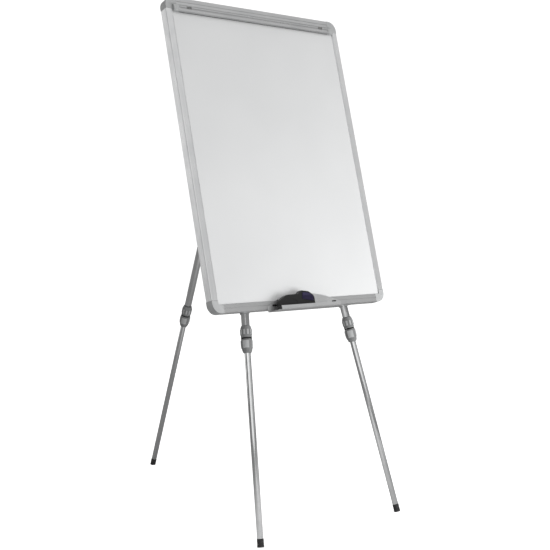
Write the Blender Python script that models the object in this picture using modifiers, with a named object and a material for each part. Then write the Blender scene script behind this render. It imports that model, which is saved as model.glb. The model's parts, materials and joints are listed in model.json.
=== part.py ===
"""Flipchart easel: a rimmed whiteboard with a paper clamp and a pen tray on three telescopic legs.

World frame: +Z up, +X to the right of someone facing the board, the board's face towards -Y.
Most parts are laid out in the board's own frame, which leans back with the board:
X across, Y into the board from the front face of its rim, Z up the slope from the floor.
"""
import math

import bmesh
import bpy
from mathutils import Matrix, Vector

# Driving dimensions, in metres and radians.
BOARD_WIDTH = 0.700
BOARD_HEIGHT = 1.000
BOARD_LIFT = 0.700
LEAN = math.radians(14.3)

FRAME_DEPTH = 0.032
SIDE_FACE = 0.022
END_FACE = 0.027
RAIL_TUBE = 0.012
RAIL_WALL = 0.0015
CORNER_ARM = 0.040
CORNER_RADIUS = 0.030
GROOVE_FRONT = 0.0026
GROOVE_BACK = 0.0150
REAR_LIP_BACK = 0.0180

CLAMP_HALF_LENGTH = 0.3255
CLAMP_BLOCK_LENGTH = 0.020
CLAMP_AXIS_DROP = 0.033
CLAMP_AXIS_Y = -0.0035
BARREL_RADIUS = 0.0052

TRAY_HALF_WIDTH = 0.150
TRAY_LIP_LEFT = 0.1315
TRAY_LIP_RIGHT = 0.108
TRAY_ARCH_FOOT = 0.010
TRAY_RISE = 0.043
TRAY_DROP = 0.009
TRAY_REACH = 0.048
TRAY_SHEET = 0.0015
SLOT_X = 0.122
SLOT_RISE = 0.0120
SLOT_HALF_LENGTH = 0.009
SLOT_HALF_HEIGHT = 0.003
CAP_WIDTH = 0.0085
CAP_DEPTH = 0.0085
CAP_HEIGHT = 0.0085

ERASER_LENGTH = 0.140
ERASER_CENTRE_X = -0.050
HOLDER_THICKNESS = 0.021
FELT_THICKNESS = 0.0055
GRIP_RIBS = 8
RIB_PITCH = 0.0052

HUB_HALF_WIDTH = 0.128
HUB_LOW = -0.0165
HUB_HIGH = 0.032
HUB_BASE_BACK = 0.0390
HUB_HOUSING_BACK = 0.0612
HUB_BACK = 0.066
HUB_SCREW_X = 0.046
KNUCKLE_THICKNESS = 0.0160
CLEVIS_SLACK = 0.0004
CLEVIS_HALF_WIDTH = 0.0175
CLEVIS_TOP = 0.0135
REAR_EAR_HALF = 0.0135
BOLT_HEAD_RADIUS = 0.0070
CLIP_LENGTH = 0.017
CLIP_WALL = 0.0022

PIVOT_RISE = BOARD_LIFT + BOARD_HEIGHT - 0.060
FRONT_PIVOT_X = 0.098
FRONT_PIVOT_Y = 0.048
REAR_PIVOT_Y = 0.056
FRONT_FOOT_X = 0.280
REAR_FOOT_REACH = 1.120
FRONT_UPPER = 1.022
REAR_UPPER = 1.049
LOWER_INSIDE = 0.330

UPPER_RADIUS = 0.0125
UPPER_BORE = 0.0113
LOWER_RADIUS = 0.0095
LOWER_BORE = 0.0085
SLIDE_BORE = 0.0101
COLLAR_RADIUS = 0.0185
FOOT_RADIUS = 0.0105
FOOT_HEIGHT = 0.024
SOLE_CUT = 0.002
BOLT_RADIUS = 0.0039
BOLT_BORE = 0.0043
SCREW_RADIUS = 0.0016
SCREW_BORE = 0.0021

GAP = 0.0003
ROUND_STEPS = 24

ALONG_X = Matrix.Rotation(math.radians(90), 4, "Y")
ALONG_Y = Matrix.Rotation(math.radians(-90), 4, "X")
UPRIGHT = Matrix.Rotation(math.radians(90), 4, "X")
CROSSWISE = Matrix.Rotation(math.radians(-90), 4, "Y")
FACING_BACK = (math.radians(-90), 0, 0)
FACING_FRONT = (math.radians(90), 0, 0)


# ---------------------------------------------------------------- scene and materials

def clear_scene():
    for old in list(bpy.data.objects):
        bpy.data.objects.remove(old, do_unlink=True)


def new_collection(name):
    made = bpy.data.collections.new(name)
    bpy.context.scene.collection.children.link(made)
    return made


def new_material(name, colour, roughness, metallic=0.0):
    made = bpy.data.materials.new(name)
    made.use_nodes = True
    shader = made.node_tree.nodes["Principled BSDF"]
    shader.inputs["Base Color"].default_value = (*colour, 1.0)
    shader.inputs["Roughness"].default_value = roughness
    shader.inputs["Metallic"].default_value = metallic
    return made


clear_scene()
PARTS = new_collection("flipchart_easel")
CUTTERS = new_collection("cutters")
CUTTERS.hide_render = True

ALUMINIUM = ("aluminium", (0.62, 0.63, 0.63), 0.35, 1.0)
STEEL = ("steel", (0.55, 0.56, 0.57), 0.30, 1.0)
CHROME = ("chromed_tube", (0.70, 0.71, 0.72), 0.15, 1.0)
WHITE_SHEET = ("white_sheet", (0.86, 0.87, 0.87), 0.12, 0.0)
FIBREBOARD = ("fibreboard", (0.35, 0.25, 0.16), 0.80, 0.0)
GALVANISED = ("galvanised", (0.50, 0.51, 0.52), 0.45, 1.0)
GREY_PLASTIC = ("grey_plastic", (0.30, 0.31, 0.31), 0.45, 0.0)
TRAY_SILVER = ("tray_silver", (0.55, 0.56, 0.56), 0.38, 1.0)
BLACK_PLASTIC = ("black_plastic", (0.02, 0.02, 0.022), 0.40, 0.0)
NAVY_PLASTIC = ("navy_plastic", (0.05, 0.04, 0.12), 0.45, 0.0)
NYLON = ("nylon", (0.75, 0.74, 0.70), 0.50, 0.0)
RUBBER = ("rubber", (0.03, 0.03, 0.03), 0.75, 0.0)
FELT = ("felt", (0.10, 0.10, 0.11), 0.95, 0.0)


# ---------------------------------------------------------------- shared shape makers

def add_part(name, mesh, finish, parent, location=(0, 0, 0), rotation=(0, 0, 0)):
    """A named sub-part with a material of its own."""
    part = bpy.data.objects.new(name, mesh)
    PARTS.objects.link(part)
    part.parent = parent
    part.location = location
    part.rotation_euler = rotation
    label, colour, roughness, metallic = finish
    mesh.materials.clear()
    mesh.materials.append(new_material(f"{name}_{label}", colour, roughness, metallic))
    return part


def add_empty(name, parent, location=(0, 0, 0), rotation=(0, 0, 0)):
    made = bpy.data.objects.new(name, None)
    PARTS.objects.link(made)
    made.empty_display_size = 0.05
    made.parent = parent
    made.location = location
    made.rotation_euler = rotation
    return made


def mesh_from(name, shape):
    mesh = bpy.data.meshes.new(name)
    shape.to_mesh(mesh)
    shape.free()
    return mesh


def box_mesh(name, low, high):
    low = Vector(low)
    high = Vector(high)
    shape = bmesh.new()
    place = Matrix.Translation((low + high) / 2) @ Matrix.Diagonal((*(high - low), 1.0))
    bmesh.ops.create_cube(shape, size=1.0, matrix=place)
    return mesh_from(name, shape)


def rod_mesh(name, radius, length, centre=(0, 0, 0), direction=Matrix(), steps=ROUND_STEPS):
    """A plain round rod with its middle at centre; direction turns it off the Z axis."""
    shape = bmesh.new()
    place = Matrix.Translation(centre) @ direction
    bmesh.ops.create_cone(
        shape, cap_ends=True, segments=steps, radius1=radius, radius2=radius, depth=length, matrix=place)
    return mesh_from(name, shape)


def outline_mesh(name, loops, thickness, turn=Matrix()):
    """A flat outline, with any holes as further loops, made `thickness` deep about its plane."""
    curve = bpy.data.curves.new(name, "CURVE")
    curve.dimensions = "2D"
    curve.fill_mode = "BOTH"
    curve.extrude = thickness / 2
    for loop in loops:
        spline = curve.splines.new("POLY")
        spline.points.add(len(loop) - 1)
        spline.use_cyclic_u = True
        for point, (across, along) in zip(spline.points, loop):
            point.co = (across, along, 0.0, 1.0)
    guide = bpy.data.objects.new(f"{name}_outline", curve)
    CUTTERS.objects.link(guide)
    seen = guide.evaluated_get(bpy.context.evaluated_depsgraph_get())
    mesh = bpy.data.meshes.new_from_object(seen)
    bpy.data.objects.remove(guide)
    shape = bmesh.new()
    shape.from_mesh(mesh)
    bmesh.ops.remove_doubles(shape, verts=shape.verts, dist=1e-6)
    bmesh.ops.recalc_face_normals(shape, faces=shape.faces)
    shape.transform(turn)
    shape.to_mesh(mesh)
    shape.free()
    return mesh


def arc(centre, radius, start, end, steps):
    """Points along a round stretch; start and end are in degrees."""
    points = []
    for step in range(steps + 1):
        angle = math.radians(start + (end - start) * step / steps)
        points.append((centre[0] + radius * math.cos(angle), centre[1] + radius * math.sin(angle)))
    return points


def rounded(corners, steps=3):
    """An outline from (across, along, radius) corners, each rounded by its own radius."""
    points = []
    count = len(corners)
    for index, (across, along, radius) in enumerate(corners):
        here = Vector((across, along))
        if radius == 0:
            points.append((across, along))
            continue
        before = (Vector(corners[index - 1][:2]) - here).normalized()
        after = (Vector(corners[(index + 1) % count][:2]) - here).normalized()
        half = before.angle(after) / 2
        centre = here + (before + after).normalized() * (radius / math.sin(half))
        first = here + before * (radius / math.tan(half)) - centre
        turn = first.angle_signed(here + after * (radius / math.tan(half)) - centre)
        for step in range(steps + 1):
            points.append(tuple(centre + Matrix.Rotation(-turn * step / steps, 2) @ first))
    return points


def turned_part(name, profile, finish, parent, location=(0, 0, 0), rotation=(0, 0, 0), steps=ROUND_STEPS):
    """A closed profile of (radius, height) points, outer side first and downwards, turned about Z."""
    mesh = bpy.data.meshes.new(name)
    count = len(profile)
    edges = [(index, (index + 1) % count) for index in range(count)]
    if profile[0][0] == 0 and profile[-1][0] == 0:
        edges.pop()
    mesh.from_pydata([(radius, 0.0, height) for radius, height in profile], edges, [])
    part = add_part(name, mesh, finish, parent, location, rotation)
    screw = part.modifiers.new("turned", "SCREW")
    screw.axis = "Z"
    screw.steps = steps
    screw.render_steps = steps
    screw.use_merge_vertices = True
    screw.merge_threshold = 0.00001
    screw.use_smooth_shade = True
    return part


def soften(part, width, segments=2, angle=40):
    bevel = part.modifiers.new("soft_edges", "BEVEL")
    bevel.width = width
    bevel.segments = segments
    bevel.limit_method = "ANGLE"
    bevel.angle_limit = math.radians(angle)


def combine(part, tool_mesh, parent, operation="DIFFERENCE", location=(0, 0, 0), rotation=(0, 0, 0)):
    """Cuts a helper shape out of a part, or joins it on, with an exact boolean."""
    tool = bpy.data.objects.new(f"{part.name}_{tool_mesh.name}", tool_mesh)
    CUTTERS.objects.link(tool)
    tool.parent = parent
    tool.location = location
    tool.rotation_euler = rotation
    tool.hide_render = True
    tool.display_type = "WIRE"
    boolean = part.modifiers.new(tool_mesh.name, "BOOLEAN")
    boolean.operation = operation
    boolean.solver = "EXACT"
    boolean.object = tool


# ---------------------------------------------------------------- board

def rail_outline(face, grooved):
    """Section of a rim rail: across is the distance in from the outer edge, along is the depth."""
    rim = [(0, 0, 0.003)]
    if grooved:
        rim += [(0.0130, 0, 0), (0.0134, 0.0008, 0), (0.0148, 0.0008, 0), (0.0152, 0, 0)]
    rim += [
        (face, 0, 0.001),
        (face, GROOVE_FRONT, 0),
        (RAIL_TUBE, GROOVE_FRONT, 0),
        (RAIL_TUBE, GROOVE_BACK, 0),
        (face, GROOVE_BACK, 0),
        (face, REAR_LIP_BACK, 0),
        (RAIL_TUBE, REAR_LIP_BACK, 0),
        (RAIL_TUBE, FRAME_DEPTH, 0.001),
        (0, FRAME_DEPTH, 0.002),
    ]
    inner = RAIL_TUBE - RAIL_WALL
    back = FRAME_DEPTH - RAIL_WALL
    hollow = [(RAIL_WALL, 0.0020), (inner, 0.0020), (inner, back), (RAIL_WALL, back)]
    return [rounded(rim), hollow]


def build_rails(board):
    top = BOARD_LIFT + BOARD_HEIGHT
    middle = BOARD_LIFT + BOARD_HEIGHT / 2
    side_length = BOARD_HEIGHT - 2 * (CORNER_ARM + GAP)
    end_length = BOARD_WIDTH - 2 * (CORNER_ARM + GAP)
    rails = {}
    for side, sign in (("left", 1), ("right", -1)):
        mirror = Matrix.Diagonal((sign, 1, 1, 1))
        mesh = outline_mesh(f"rail_{side}", rail_outline(SIDE_FACE, False), side_length, mirror)
        if sign < 0:
            mesh.flip_normals()
        place = (-sign * BOARD_WIDTH / 2, 0, middle)
        rails[side] = add_part(f"frame_rail_{side}", mesh, ALUMINIUM, board, place)
    for end, sign, height in (("bottom", 1, BOARD_LIFT), ("top", -1, top)):
        mirror = Matrix.Diagonal((1, 1, sign, 1)) @ CROSSWISE
        mesh = outline_mesh(f"rail_{end}", rail_outline(END_FACE, True), end_length, mirror)
        if sign < 0:
            mesh.flip_normals()
        rails[end] = add_part(f"frame_rail_{end}", mesh, ALUMINIUM, board, (0, 0, height))
    return rails


def mark_outer_rim(mesh):
    """Marks for bevelling the edges that run round the outside of a corner, on its front and its back."""
    shape = bmesh.new()
    shape.from_mesh(mesh)
    weight = shape.edges.layers.float.new("bevel_weight_edge")
    radius = CORNER_RADIUS

    def on_rim(vertex):
        across = abs(vertex.co.x)
        along = abs(vertex.co.z)
        on_arc = abs(math.hypot(radius - across, radius - along) - radius) < 0.00001
        return min(across, along) < 0.00001 or (on_arc and max(across, along) < radius)

    for edge in shape.edges:
        level = abs(edge.verts[0].co.y - edge.verts[1].co.y) < 0.00001
        if level and edge.calc_face_angle() > 1.0 and all(on_rim(vertex) for vertex in edge.verts):
            edge[weight] = 1.0
    shape.to_mesh(mesh)
    shape.free()


def build_corner(board, name, x_sign, z_sign):
    """A plastic corner with a rounded outside, a pocket for the panel and a spigot into each rail."""
    arm = CORNER_ARM
    proud = 0.0005
    outline = rounded([
        (0, 0, CORNER_RADIUS),
        (arm, 0, 0),
        (arm, END_FACE, 0),
        (SIDE_FACE, END_FACE, 0.002),
        (SIDE_FACE, arm, 0),
        (0, arm, 0),
    ], steps=6)
    mesh = outline_mesh(name, [outline], FRAME_DEPTH + 2 * proud, UPRIGHT)
    mark_outer_rim(mesh)
    mesh.transform(Matrix.Diagonal((x_sign, 1, z_sign, 1)))
    if x_sign != z_sign:
        mesh.flip_normals()
    place = (-x_sign * BOARD_WIDTH / 2, FRAME_DEPTH / 2, BOARD_LIFT + (0 if z_sign > 0 else BOARD_HEIGHT))
    corner = add_part(name, mesh, GREY_PLASTIC, board, place)
    rim = corner.modifiers.new("soft_rim", "BEVEL")
    rim.width = 0.0020
    rim.segments = 2
    rim.limit_method = "WEIGHT"
    middle = FRAME_DEPTH / 2

    def signed_box(label, low, high):
        ends_x = sorted((x_sign * low[0], x_sign * high[0]))
        ends_z = sorted((z_sign * low[2], z_sign * high[2]))
        low = (ends_x[0], low[1] - middle, ends_z[0])
        high = (ends_x[1], high[1] - middle, ends_z[1])
        return box_mesh(label, low, high)

    slack = 0.0004
    inner = RAIL_TUBE - RAIL_WALL - slack
    back = FRAME_DEPTH - RAIL_WALL - slack
    reach = arm + 0.018
    wall = RAIL_WALL + slack
    across = signed_box("spigot_across", (0.014, 0.0026, wall), (reach, back, inner))
    upwards = signed_box("spigot_upwards", (wall, 0.0026, 0.014), (inner, back, reach))
    pocket = signed_box("pocket", (RAIL_TUBE, GROOVE_FRONT, RAIL_TUBE), (0.06, GROOVE_BACK, 0.06))
    recess = signed_box("recess", (RAIL_TUBE, REAR_LIP_BACK, RAIL_TUBE), (0.06, 0.06, 0.06))
    combine(corner, pocket, board, location=place)
    combine(corner, recess, board, location=place)
    combine(corner, across, board, "UNION", location=place)
    combine(corner, upwards, board, "UNION", location=place)


def build_panel(board):
    inset = RAIL_TUBE + GAP
    half = BOARD_WIDTH / 2 - inset
    low = BOARD_LIFT + inset
    high = BOARD_LIFT + BOARD_HEIGHT - inset
    layers = (
        ("writing_surface", 0.0029, 0.0035, WHITE_SHEET),
        ("core_panel", 0.0038, 0.0139, FIBREBOARD),
        ("back_sheet", 0.0142, 0.0147, GALVANISED),
    )
    panel = {}
    for name, front, back, finish in layers:
        mesh = box_mesh(name, (-half, front, low), (half, back, high))
        panel[name] = add_part(name, mesh, finish, board)
    return panel


# ---------------------------------------------------------------- paper clamp

def clamp_bar_outline():
    """Section of the clamp bar about its hinge: across is forward, along is up."""
    nose = arc((0, 0), BARREL_RADIUS, -40, 215, 14)
    plate = [
        (-0.0029, -0.0060),
        (-0.0029, -0.0148),
        (-0.0018, -0.0160),
        (0.0030, -0.0160),
        (0.0046, -0.0145),
        (0.0046, -0.0100),
        (0.0038, -0.0092),
        (0.0038, -0.0060),
    ]
    return nose + plate


def torsion_spring(name, board, hinge_x, side):
    """A five-turn coil round the hinge rod, with one leg resting on the top rail."""
    wire = 0.00045
    radius = 0.0027
    turns = 4
    pitch = 0.0022
    per_turn = 9
    route = []
    for step in range(turns * per_turn + 1):
        angle = 2 * math.pi * step / per_turn
        forward = math.cos(angle) * radius
        up = math.sin(angle) * radius
        route.append((side * pitch * step / per_turn, forward, up))
    end = route[-1]
    route.append((end[0], end[1], end[2] + 0.0040))
    route.append((end[0], end[1], end[2] + 0.0110))
    curve = bpy.data.curves.new(name, "CURVE")
    curve.dimensions = "3D"
    curve.bevel_depth = wire
    curve.bevel_resolution = 1
    curve.use_fill_caps = True
    spline = curve.splines.new("POLY")
    spline.points.add(len(route) - 1)
    for point, place in zip(spline.points, route):
        point.co = (*place, 1.0)
    spring = bpy.data.objects.new(name, curve)
    PARTS.objects.link(spring)
    spring.parent = board
    spring.location = (hinge_x - side * turns * pitch / 2, CLAMP_AXIS_Y, clamp_height())
    label, colour, roughness, metallic = STEEL
    curve.materials.append(new_material(f"{name}_{label}", colour, roughness, metallic))


def clamp_height():
    return BOARD_LIFT + BOARD_HEIGHT - CLAMP_AXIS_DROP


def build_clamp(board):
    height = clamp_height()
    hinge = add_empty("clamp_hinge", board, (0, CLAMP_AXIS_Y, height))
    bar_half = CLAMP_HALF_LENGTH - CLAMP_BLOCK_LENGTH - GAP
    face_on = Matrix.Diagonal((1, -1, 1, 1)) @ Matrix.Rotation(math.radians(90), 4, "Z") @ UPRIGHT
    mesh = outline_mesh("clamp_bar", [clamp_bar_outline()], 2 * bar_half, face_on)
    mesh.flip_normals()
    bar = add_part("clamp_bar", mesh, ALUMINIUM, hinge)
    combine(bar, rod_mesh("bore", 0.0021, 2 * bar_half + 0.01, direction=ALONG_X), hinge)
    spring_x = bar_half - 0.036
    for side in (-1, 1):
        notch = box_mesh("notch", (side * spring_x - 0.009, -0.008, -0.0046),
                         (side * spring_x + 0.009, 0.008, 0.008))
        combine(bar, notch, hinge)
    pad = box_mesh("clamp_pad", (-bar_half, 0.0032, -0.0155), (bar_half, 0.0061, -0.0095))
    soften(add_part("clamp_pad", pad, RUBBER, hinge), 0.0006)

    block_outline = rounded([
        (-0.0059, BARREL_RADIUS, 0.001),
        (-0.0059, -0.0160, 0.001),
        (BARREL_RADIUS, -0.0160, 0.003),
        (BARREL_RADIUS, BARREL_RADIUS, 0.003),
    ])
    for side, sign in (("left", -1), ("right", 1)):
        name = f"clamp_block_{side}"
        mesh = outline_mesh(name, [block_outline], CLAMP_BLOCK_LENGTH - GAP, face_on)
        mesh.flip_normals()
        centre = sign * (CLAMP_HALF_LENGTH - CLAMP_BLOCK_LENGTH / 2)
        block = add_part(name, mesh, GREY_PLASTIC, board, (centre, CLAMP_AXIS_Y, height))
        bore = rod_mesh("rod_bore", 0.0020, 0.04, direction=ALONG_X)
        combine(block, bore, board, location=(centre - sign * 0.012, CLAMP_AXIS_Y, height))
        torsion_spring(f"clamp_spring_{side}", board, sign * spring_x, sign)
    rod = rod_mesh("clamp_rod", 0.0016, 2 * (CLAMP_HALF_LENGTH - 0.006), direction=ALONG_X, steps=12)
    add_part("clamp_rod", rod, STEEL, board, (0, CLAMP_AXIS_Y, height))


# ---------------------------------------------------------------- pen tray and eraser

def build_tray(board, rail_bottom):
    """Sheet tray: an arched back plate with two slots, an angled-off floor, a front lip and an end cap."""
    back = -0.0004
    front = back - TRAY_SHEET
    rise = TRAY_RISE - TRAY_ARCH_FOOT
    arch_radius = (TRAY_HALF_WIDTH ** 2 + rise ** 2) / (2 * rise)
    sweep = math.degrees(math.asin(TRAY_HALF_WIDTH / arch_radius))
    top = arc((0, TRAY_RISE - arch_radius), arch_radius, 90 - sweep, 90 + sweep, 20)
    plate = top + [(-TRAY_HALF_WIDTH, -TRAY_DROP), (TRAY_HALF_WIDTH, -TRAY_DROP)]
    slots = []
    for sign in (-1, 1):
        inner = sign * SLOT_X - SLOT_HALF_LENGTH
        outer = sign * SLOT_X + SLOT_HALF_LENGTH
        low = SLOT_RISE - SLOT_HALF_HEIGHT
        high = SLOT_RISE + SLOT_HALF_HEIGHT
        bend = SLOT_HALF_HEIGHT - 0.0001
        corners = ((inner, low), (outer, low), (outer, high), (inner, high))
        slots.append(rounded([(*corner, bend) for corner in corners]))
    mesh = outline_mesh("pen_tray", [plate] + slots, TRAY_SHEET, UPRIGHT)
    place = (0, (back + front) / 2, BOARD_LIFT)
    tray = add_part("pen_tray", mesh, TRAY_SILVER, board, place)

    floor = [
        (-TRAY_HALF_WIDTH, 0),
        (-TRAY_HALF_WIDTH, -0.006),
        (-TRAY_LIP_LEFT - CAP_WIDTH - GAP, -TRAY_REACH),
        (TRAY_LIP_RIGHT, -TRAY_REACH),
        (TRAY_HALF_WIDTH, -0.006),
        (TRAY_HALF_WIDTH, 0),
    ]
    floor_mesh = outline_mesh("floor", [floor], TRAY_SHEET)
    combine(tray, floor_mesh, board, "UNION", location=(0, back, BOARD_LIFT - TRAY_DROP + TRAY_SHEET / 2))
    lip = rounded([
        (-TRAY_LIP_LEFT, 0, 0),
        (TRAY_LIP_RIGHT, 0, 0),
        (TRAY_LIP_RIGHT, 0.013, 0.006),
        (-TRAY_LIP_LEFT, 0.013, 0.002),
    ])
    lip_mesh = outline_mesh("lip", [lip], TRAY_SHEET, UPRIGHT)
    lip_place = (0, back - TRAY_REACH + TRAY_SHEET / 2, BOARD_LIFT - TRAY_DROP)
    combine(tray, lip_mesh, board, "UNION", location=lip_place)

    for side, sign in (("left", -1), ("right", 1)):
        spot = (sign * SLOT_X, 0, BOARD_LIFT + SLOT_RISE)
        profile = [(0, -front + 0.0002), (0.0027, -front + 0.0002), (0.0027, GAP), (SCREW_RADIUS, GAP)]
        profile += [(SCREW_RADIUS, -0.0024), (0, -0.0024)]
        turned_part(f"tray_screw_{side}", profile, BLACK_PLASTIC, board, spot, FACING_FRONT, 12)
        hole = rod_mesh(f"tray_screw_hole_{side}", SCREW_BORE, 0.014, direction=ALONG_Y, steps=12)
        combine(rail_bottom, hole, board, location=(spot[0], -0.003, spot[2]))

    floor_top = BOARD_LIFT - TRAY_DROP + TRAY_SHEET + GAP
    low = (-TRAY_LIP_LEFT - GAP - CAP_WIDTH, back - TRAY_REACH, floor_top)
    high = (-TRAY_LIP_LEFT - GAP, back - TRAY_REACH + CAP_DEPTH, floor_top + CAP_HEIGHT)
    cap = add_part("tray_end_cap", box_mesh("tray_end_cap", low, high), BLACK_PLASTIC, board)
    soften(cap, 0.0012)


def eraser_outline():
    """Front view of the eraser's holder: low and rounded at the left, humped at the right."""
    half = ERASER_LENGTH / 2
    return rounded([
        (-half, 0, 0.006),
        (half, 0, 0.008),
        (half, 0.038, 0.016),
        (0.050, 0.0530, 0.014),
        (0.018, 0.0575, 0.010),
        (0.008, 0.0465, 0.008),
        (-0.040, 0.0460, 0.030),
        (-half, 0.030, 0.014),
    ])


def build_eraser(board):
    floor_top = BOARD_LIFT - TRAY_DROP + TRAY_SHEET
    back = -0.0004 - TRAY_SHEET - 2 * GAP
    lift = add_empty("eraser_lift", board, (ERASER_CENTRE_X, back, floor_top + GAP))
    felt_half = ERASER_LENGTH / 2 - 0.006
    felt = box_mesh("eraser_felt", (-felt_half, -FELT_THICKNESS, 0.003), (felt_half, 0, 0.036))
    soften(add_part("eraser_felt", felt, FELT, lift), 0.001)
    holder_back = FELT_THICKNESS + GAP
    holder_front = holder_back + HOLDER_THICKNESS
    holder = outline_mesh("eraser_body", [eraser_outline()], HOLDER_THICKNESS, UPRIGHT)
    body = add_part("eraser_body", holder, BLACK_PLASTIC, lift, (0, -(holder_back + holder_front) / 2, 0))
    seat = rounded([
        (0.018, 0.030, 0.004),
        (0.062, 0.021, 0.004),
        (0.0655, 0.0355, 0.008),
        (0.048, 0.0475, 0.010),
        (0.022, 0.0515, 0.006),
    ])
    seat_depth = 0.003
    seat_tool = outline_mesh("grip_seat", [seat], 2 * seat_depth, UPRIGHT)
    combine(body, seat_tool, lift, location=(0, -holder_front, 0))
    soften(body, 0.0012, 2, 50)
    middle = Vector((0.0430, 0.0370))
    fit = Vector((0.985, 0.960))
    plug = [middle + (Vector(point) - middle) * fit for point in seat]
    grip_depth = 0.0040
    grip_y = seat_depth - GAP - 0.0001 - grip_depth / 2 - holder_front
    grip = outline_mesh("eraser_grip", [plug], grip_depth, UPRIGHT)
    part = add_part("eraser_grip", grip, NAVY_PLASTIC, lift, (0, grip_y, 0))
    for index in range(GRIP_RIBS):
        x = 0.024 + index * RIB_PITCH
        rib = box_mesh(f"groove_{index}", (x, -0.0035, 0.0), (x + 0.0016, -0.0012, 0.0385))
        combine(part, rib, lift, location=(0, grip_y, 0))


# ---------------------------------------------------------------- leg hub and clips

def build_hub(board, panel):
    """Bracket behind the top of the board, with a closed clevis for each front leg and ears for the rear."""
    base_front = GROOVE_BACK + GAP
    below = HUB_LOW - 0.01
    above = HUB_HIGH + 0.01
    beyond = HUB_HALF_WIDTH + 0.01
    behind = HUB_BACK + 0.01
    outline = rounded([
        (-HUB_HALF_WIDTH, HUB_LOW, 0.008),
        (HUB_HALF_WIDTH, HUB_LOW, 0.008),
        (HUB_HALF_WIDTH, HUB_HIGH, 0.014),
        (-HUB_HALF_WIDTH, HUB_HIGH, 0.014),
    ])
    mesh = outline_mesh("leg_hub", [outline], HUB_BACK - base_front, UPRIGHT)
    middle = (base_front + HUB_BACK) / 2
    hub = add_part("leg_hub", mesh, GREY_PLASTIC, board, (0, middle, PIVOT_RISE))
    soften(hub, 0.0015)
    place = (0, 0, PIVOT_RISE)
    clevis_depth = KNUCKLE_THICKNESS / 2 + CLEVIS_SLACK
    housing_in = FRONT_PIVOT_X - 0.022
    housing_out = FRONT_PIVOT_X + 0.024
    for side, sign in (("left", -1), ("right", 1)):
        def cut(label, x_from, x_to, low_corner, high_corner):
            ends = sorted((sign * x_from, sign * x_to))
            tool = box_mesh(label, (ends[0], *low_corner), (ends[1], *high_corner))
            combine(hub, tool, board, location=place)
        cut(f"recess_{side}", REAR_EAR_HALF, housing_in, (HUB_BASE_BACK, below), (behind, HUB_HIGH - 0.006))
        cut(f"rear_step_{side}", 0.030, beyond, (HUB_HOUSING_BACK, below), (behind, above))
        cut(f"end_step_{side}", housing_out, beyond, (HUB_BASE_BACK, below), (behind, above))
        cut(f"clevis_{side}", FRONT_PIVOT_X - CLEVIS_HALF_WIDTH, FRONT_PIVOT_X + CLEVIS_HALF_WIDTH,
            (FRONT_PIVOT_Y - clevis_depth, below), (FRONT_PIVOT_Y + clevis_depth, CLEVIS_TOP))
        bore = rod_mesh(f"bolt_bore_{side}", BOLT_BORE, 0.060, (0, 0.060, 0), ALONG_Y)
        combine(hub, bore, board, location=(sign * FRONT_PIVOT_X, 0, PIVOT_RISE))
        screw_x = sign * HUB_SCREW_X
        screw_z = PIVOT_RISE + 0.010
        for target in (hub, panel["core_panel"], panel["back_sheet"]):
            label = f"{target.name}_screw_hole_{side}"
            tool = rod_mesh(label, SCREW_BORE, 0.050, (0, 0.031, 0), ALONG_Y, 12)
            combine(target, tool, board, location=(screw_x, 0, screw_z))
        profile = [(0, 0.0024), (0.0030, 0.0024), (0.0042, 0.0008), (0.0042, 0), (SCREW_RADIUS, 0)]
        profile += [(SCREW_RADIUS, -0.032), (0, -0.0325)]
        spot = (screw_x, HUB_BASE_BACK + GAP, screw_z)
        turned_part(f"hub_screw_{side}", profile, STEEL, board, spot, FACING_BACK, 12)
        head = BOLT_HEAD_RADIUS
        bolt = [(0, 0.0036), (head - 0.0014, 0.0036), (head, 0.0024), (head, 0), (BOLT_RADIUS, 0)]
        bolt += [(BOLT_RADIUS, -0.0305), (0, -0.0305)]
        spot = (sign * FRONT_PIVOT_X, HUB_HOUSING_BACK + GAP, PIVOT_RISE)
        turned_part(f"pivot_bolt_{side}", bolt, STEEL, board, spot, FACING_BACK)
    slot_low = (-clevis_depth, REAR_PIVOT_Y - CLEVIS_TOP, below)
    slot_high = (clevis_depth, HUB_BACK + 0.024, 0.0150)
    combine(hub, box_mesh("rear_clevis", slot_low, slot_high), board, location=place)
    pin_place = (0, REAR_PIVOT_Y, PIVOT_RISE)
    combine(hub, rod_mesh("pin_bore", BOLT_BORE, 0.034, direction=ALONG_X), board, location=pin_place)
    pin_end = REAR_EAR_HALF + GAP
    head = 0.0024
    pin = [(0, pin_end + head), (0.0060, pin_end + head), (0.0060, pin_end), (BOLT_RADIUS, pin_end)]
    pin += [(radius, -height) for radius, height in reversed(pin)]
    turned_part("rear_pivot_pin", pin, STEEL, board, pin_place, (0, math.radians(90), 0))


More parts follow.
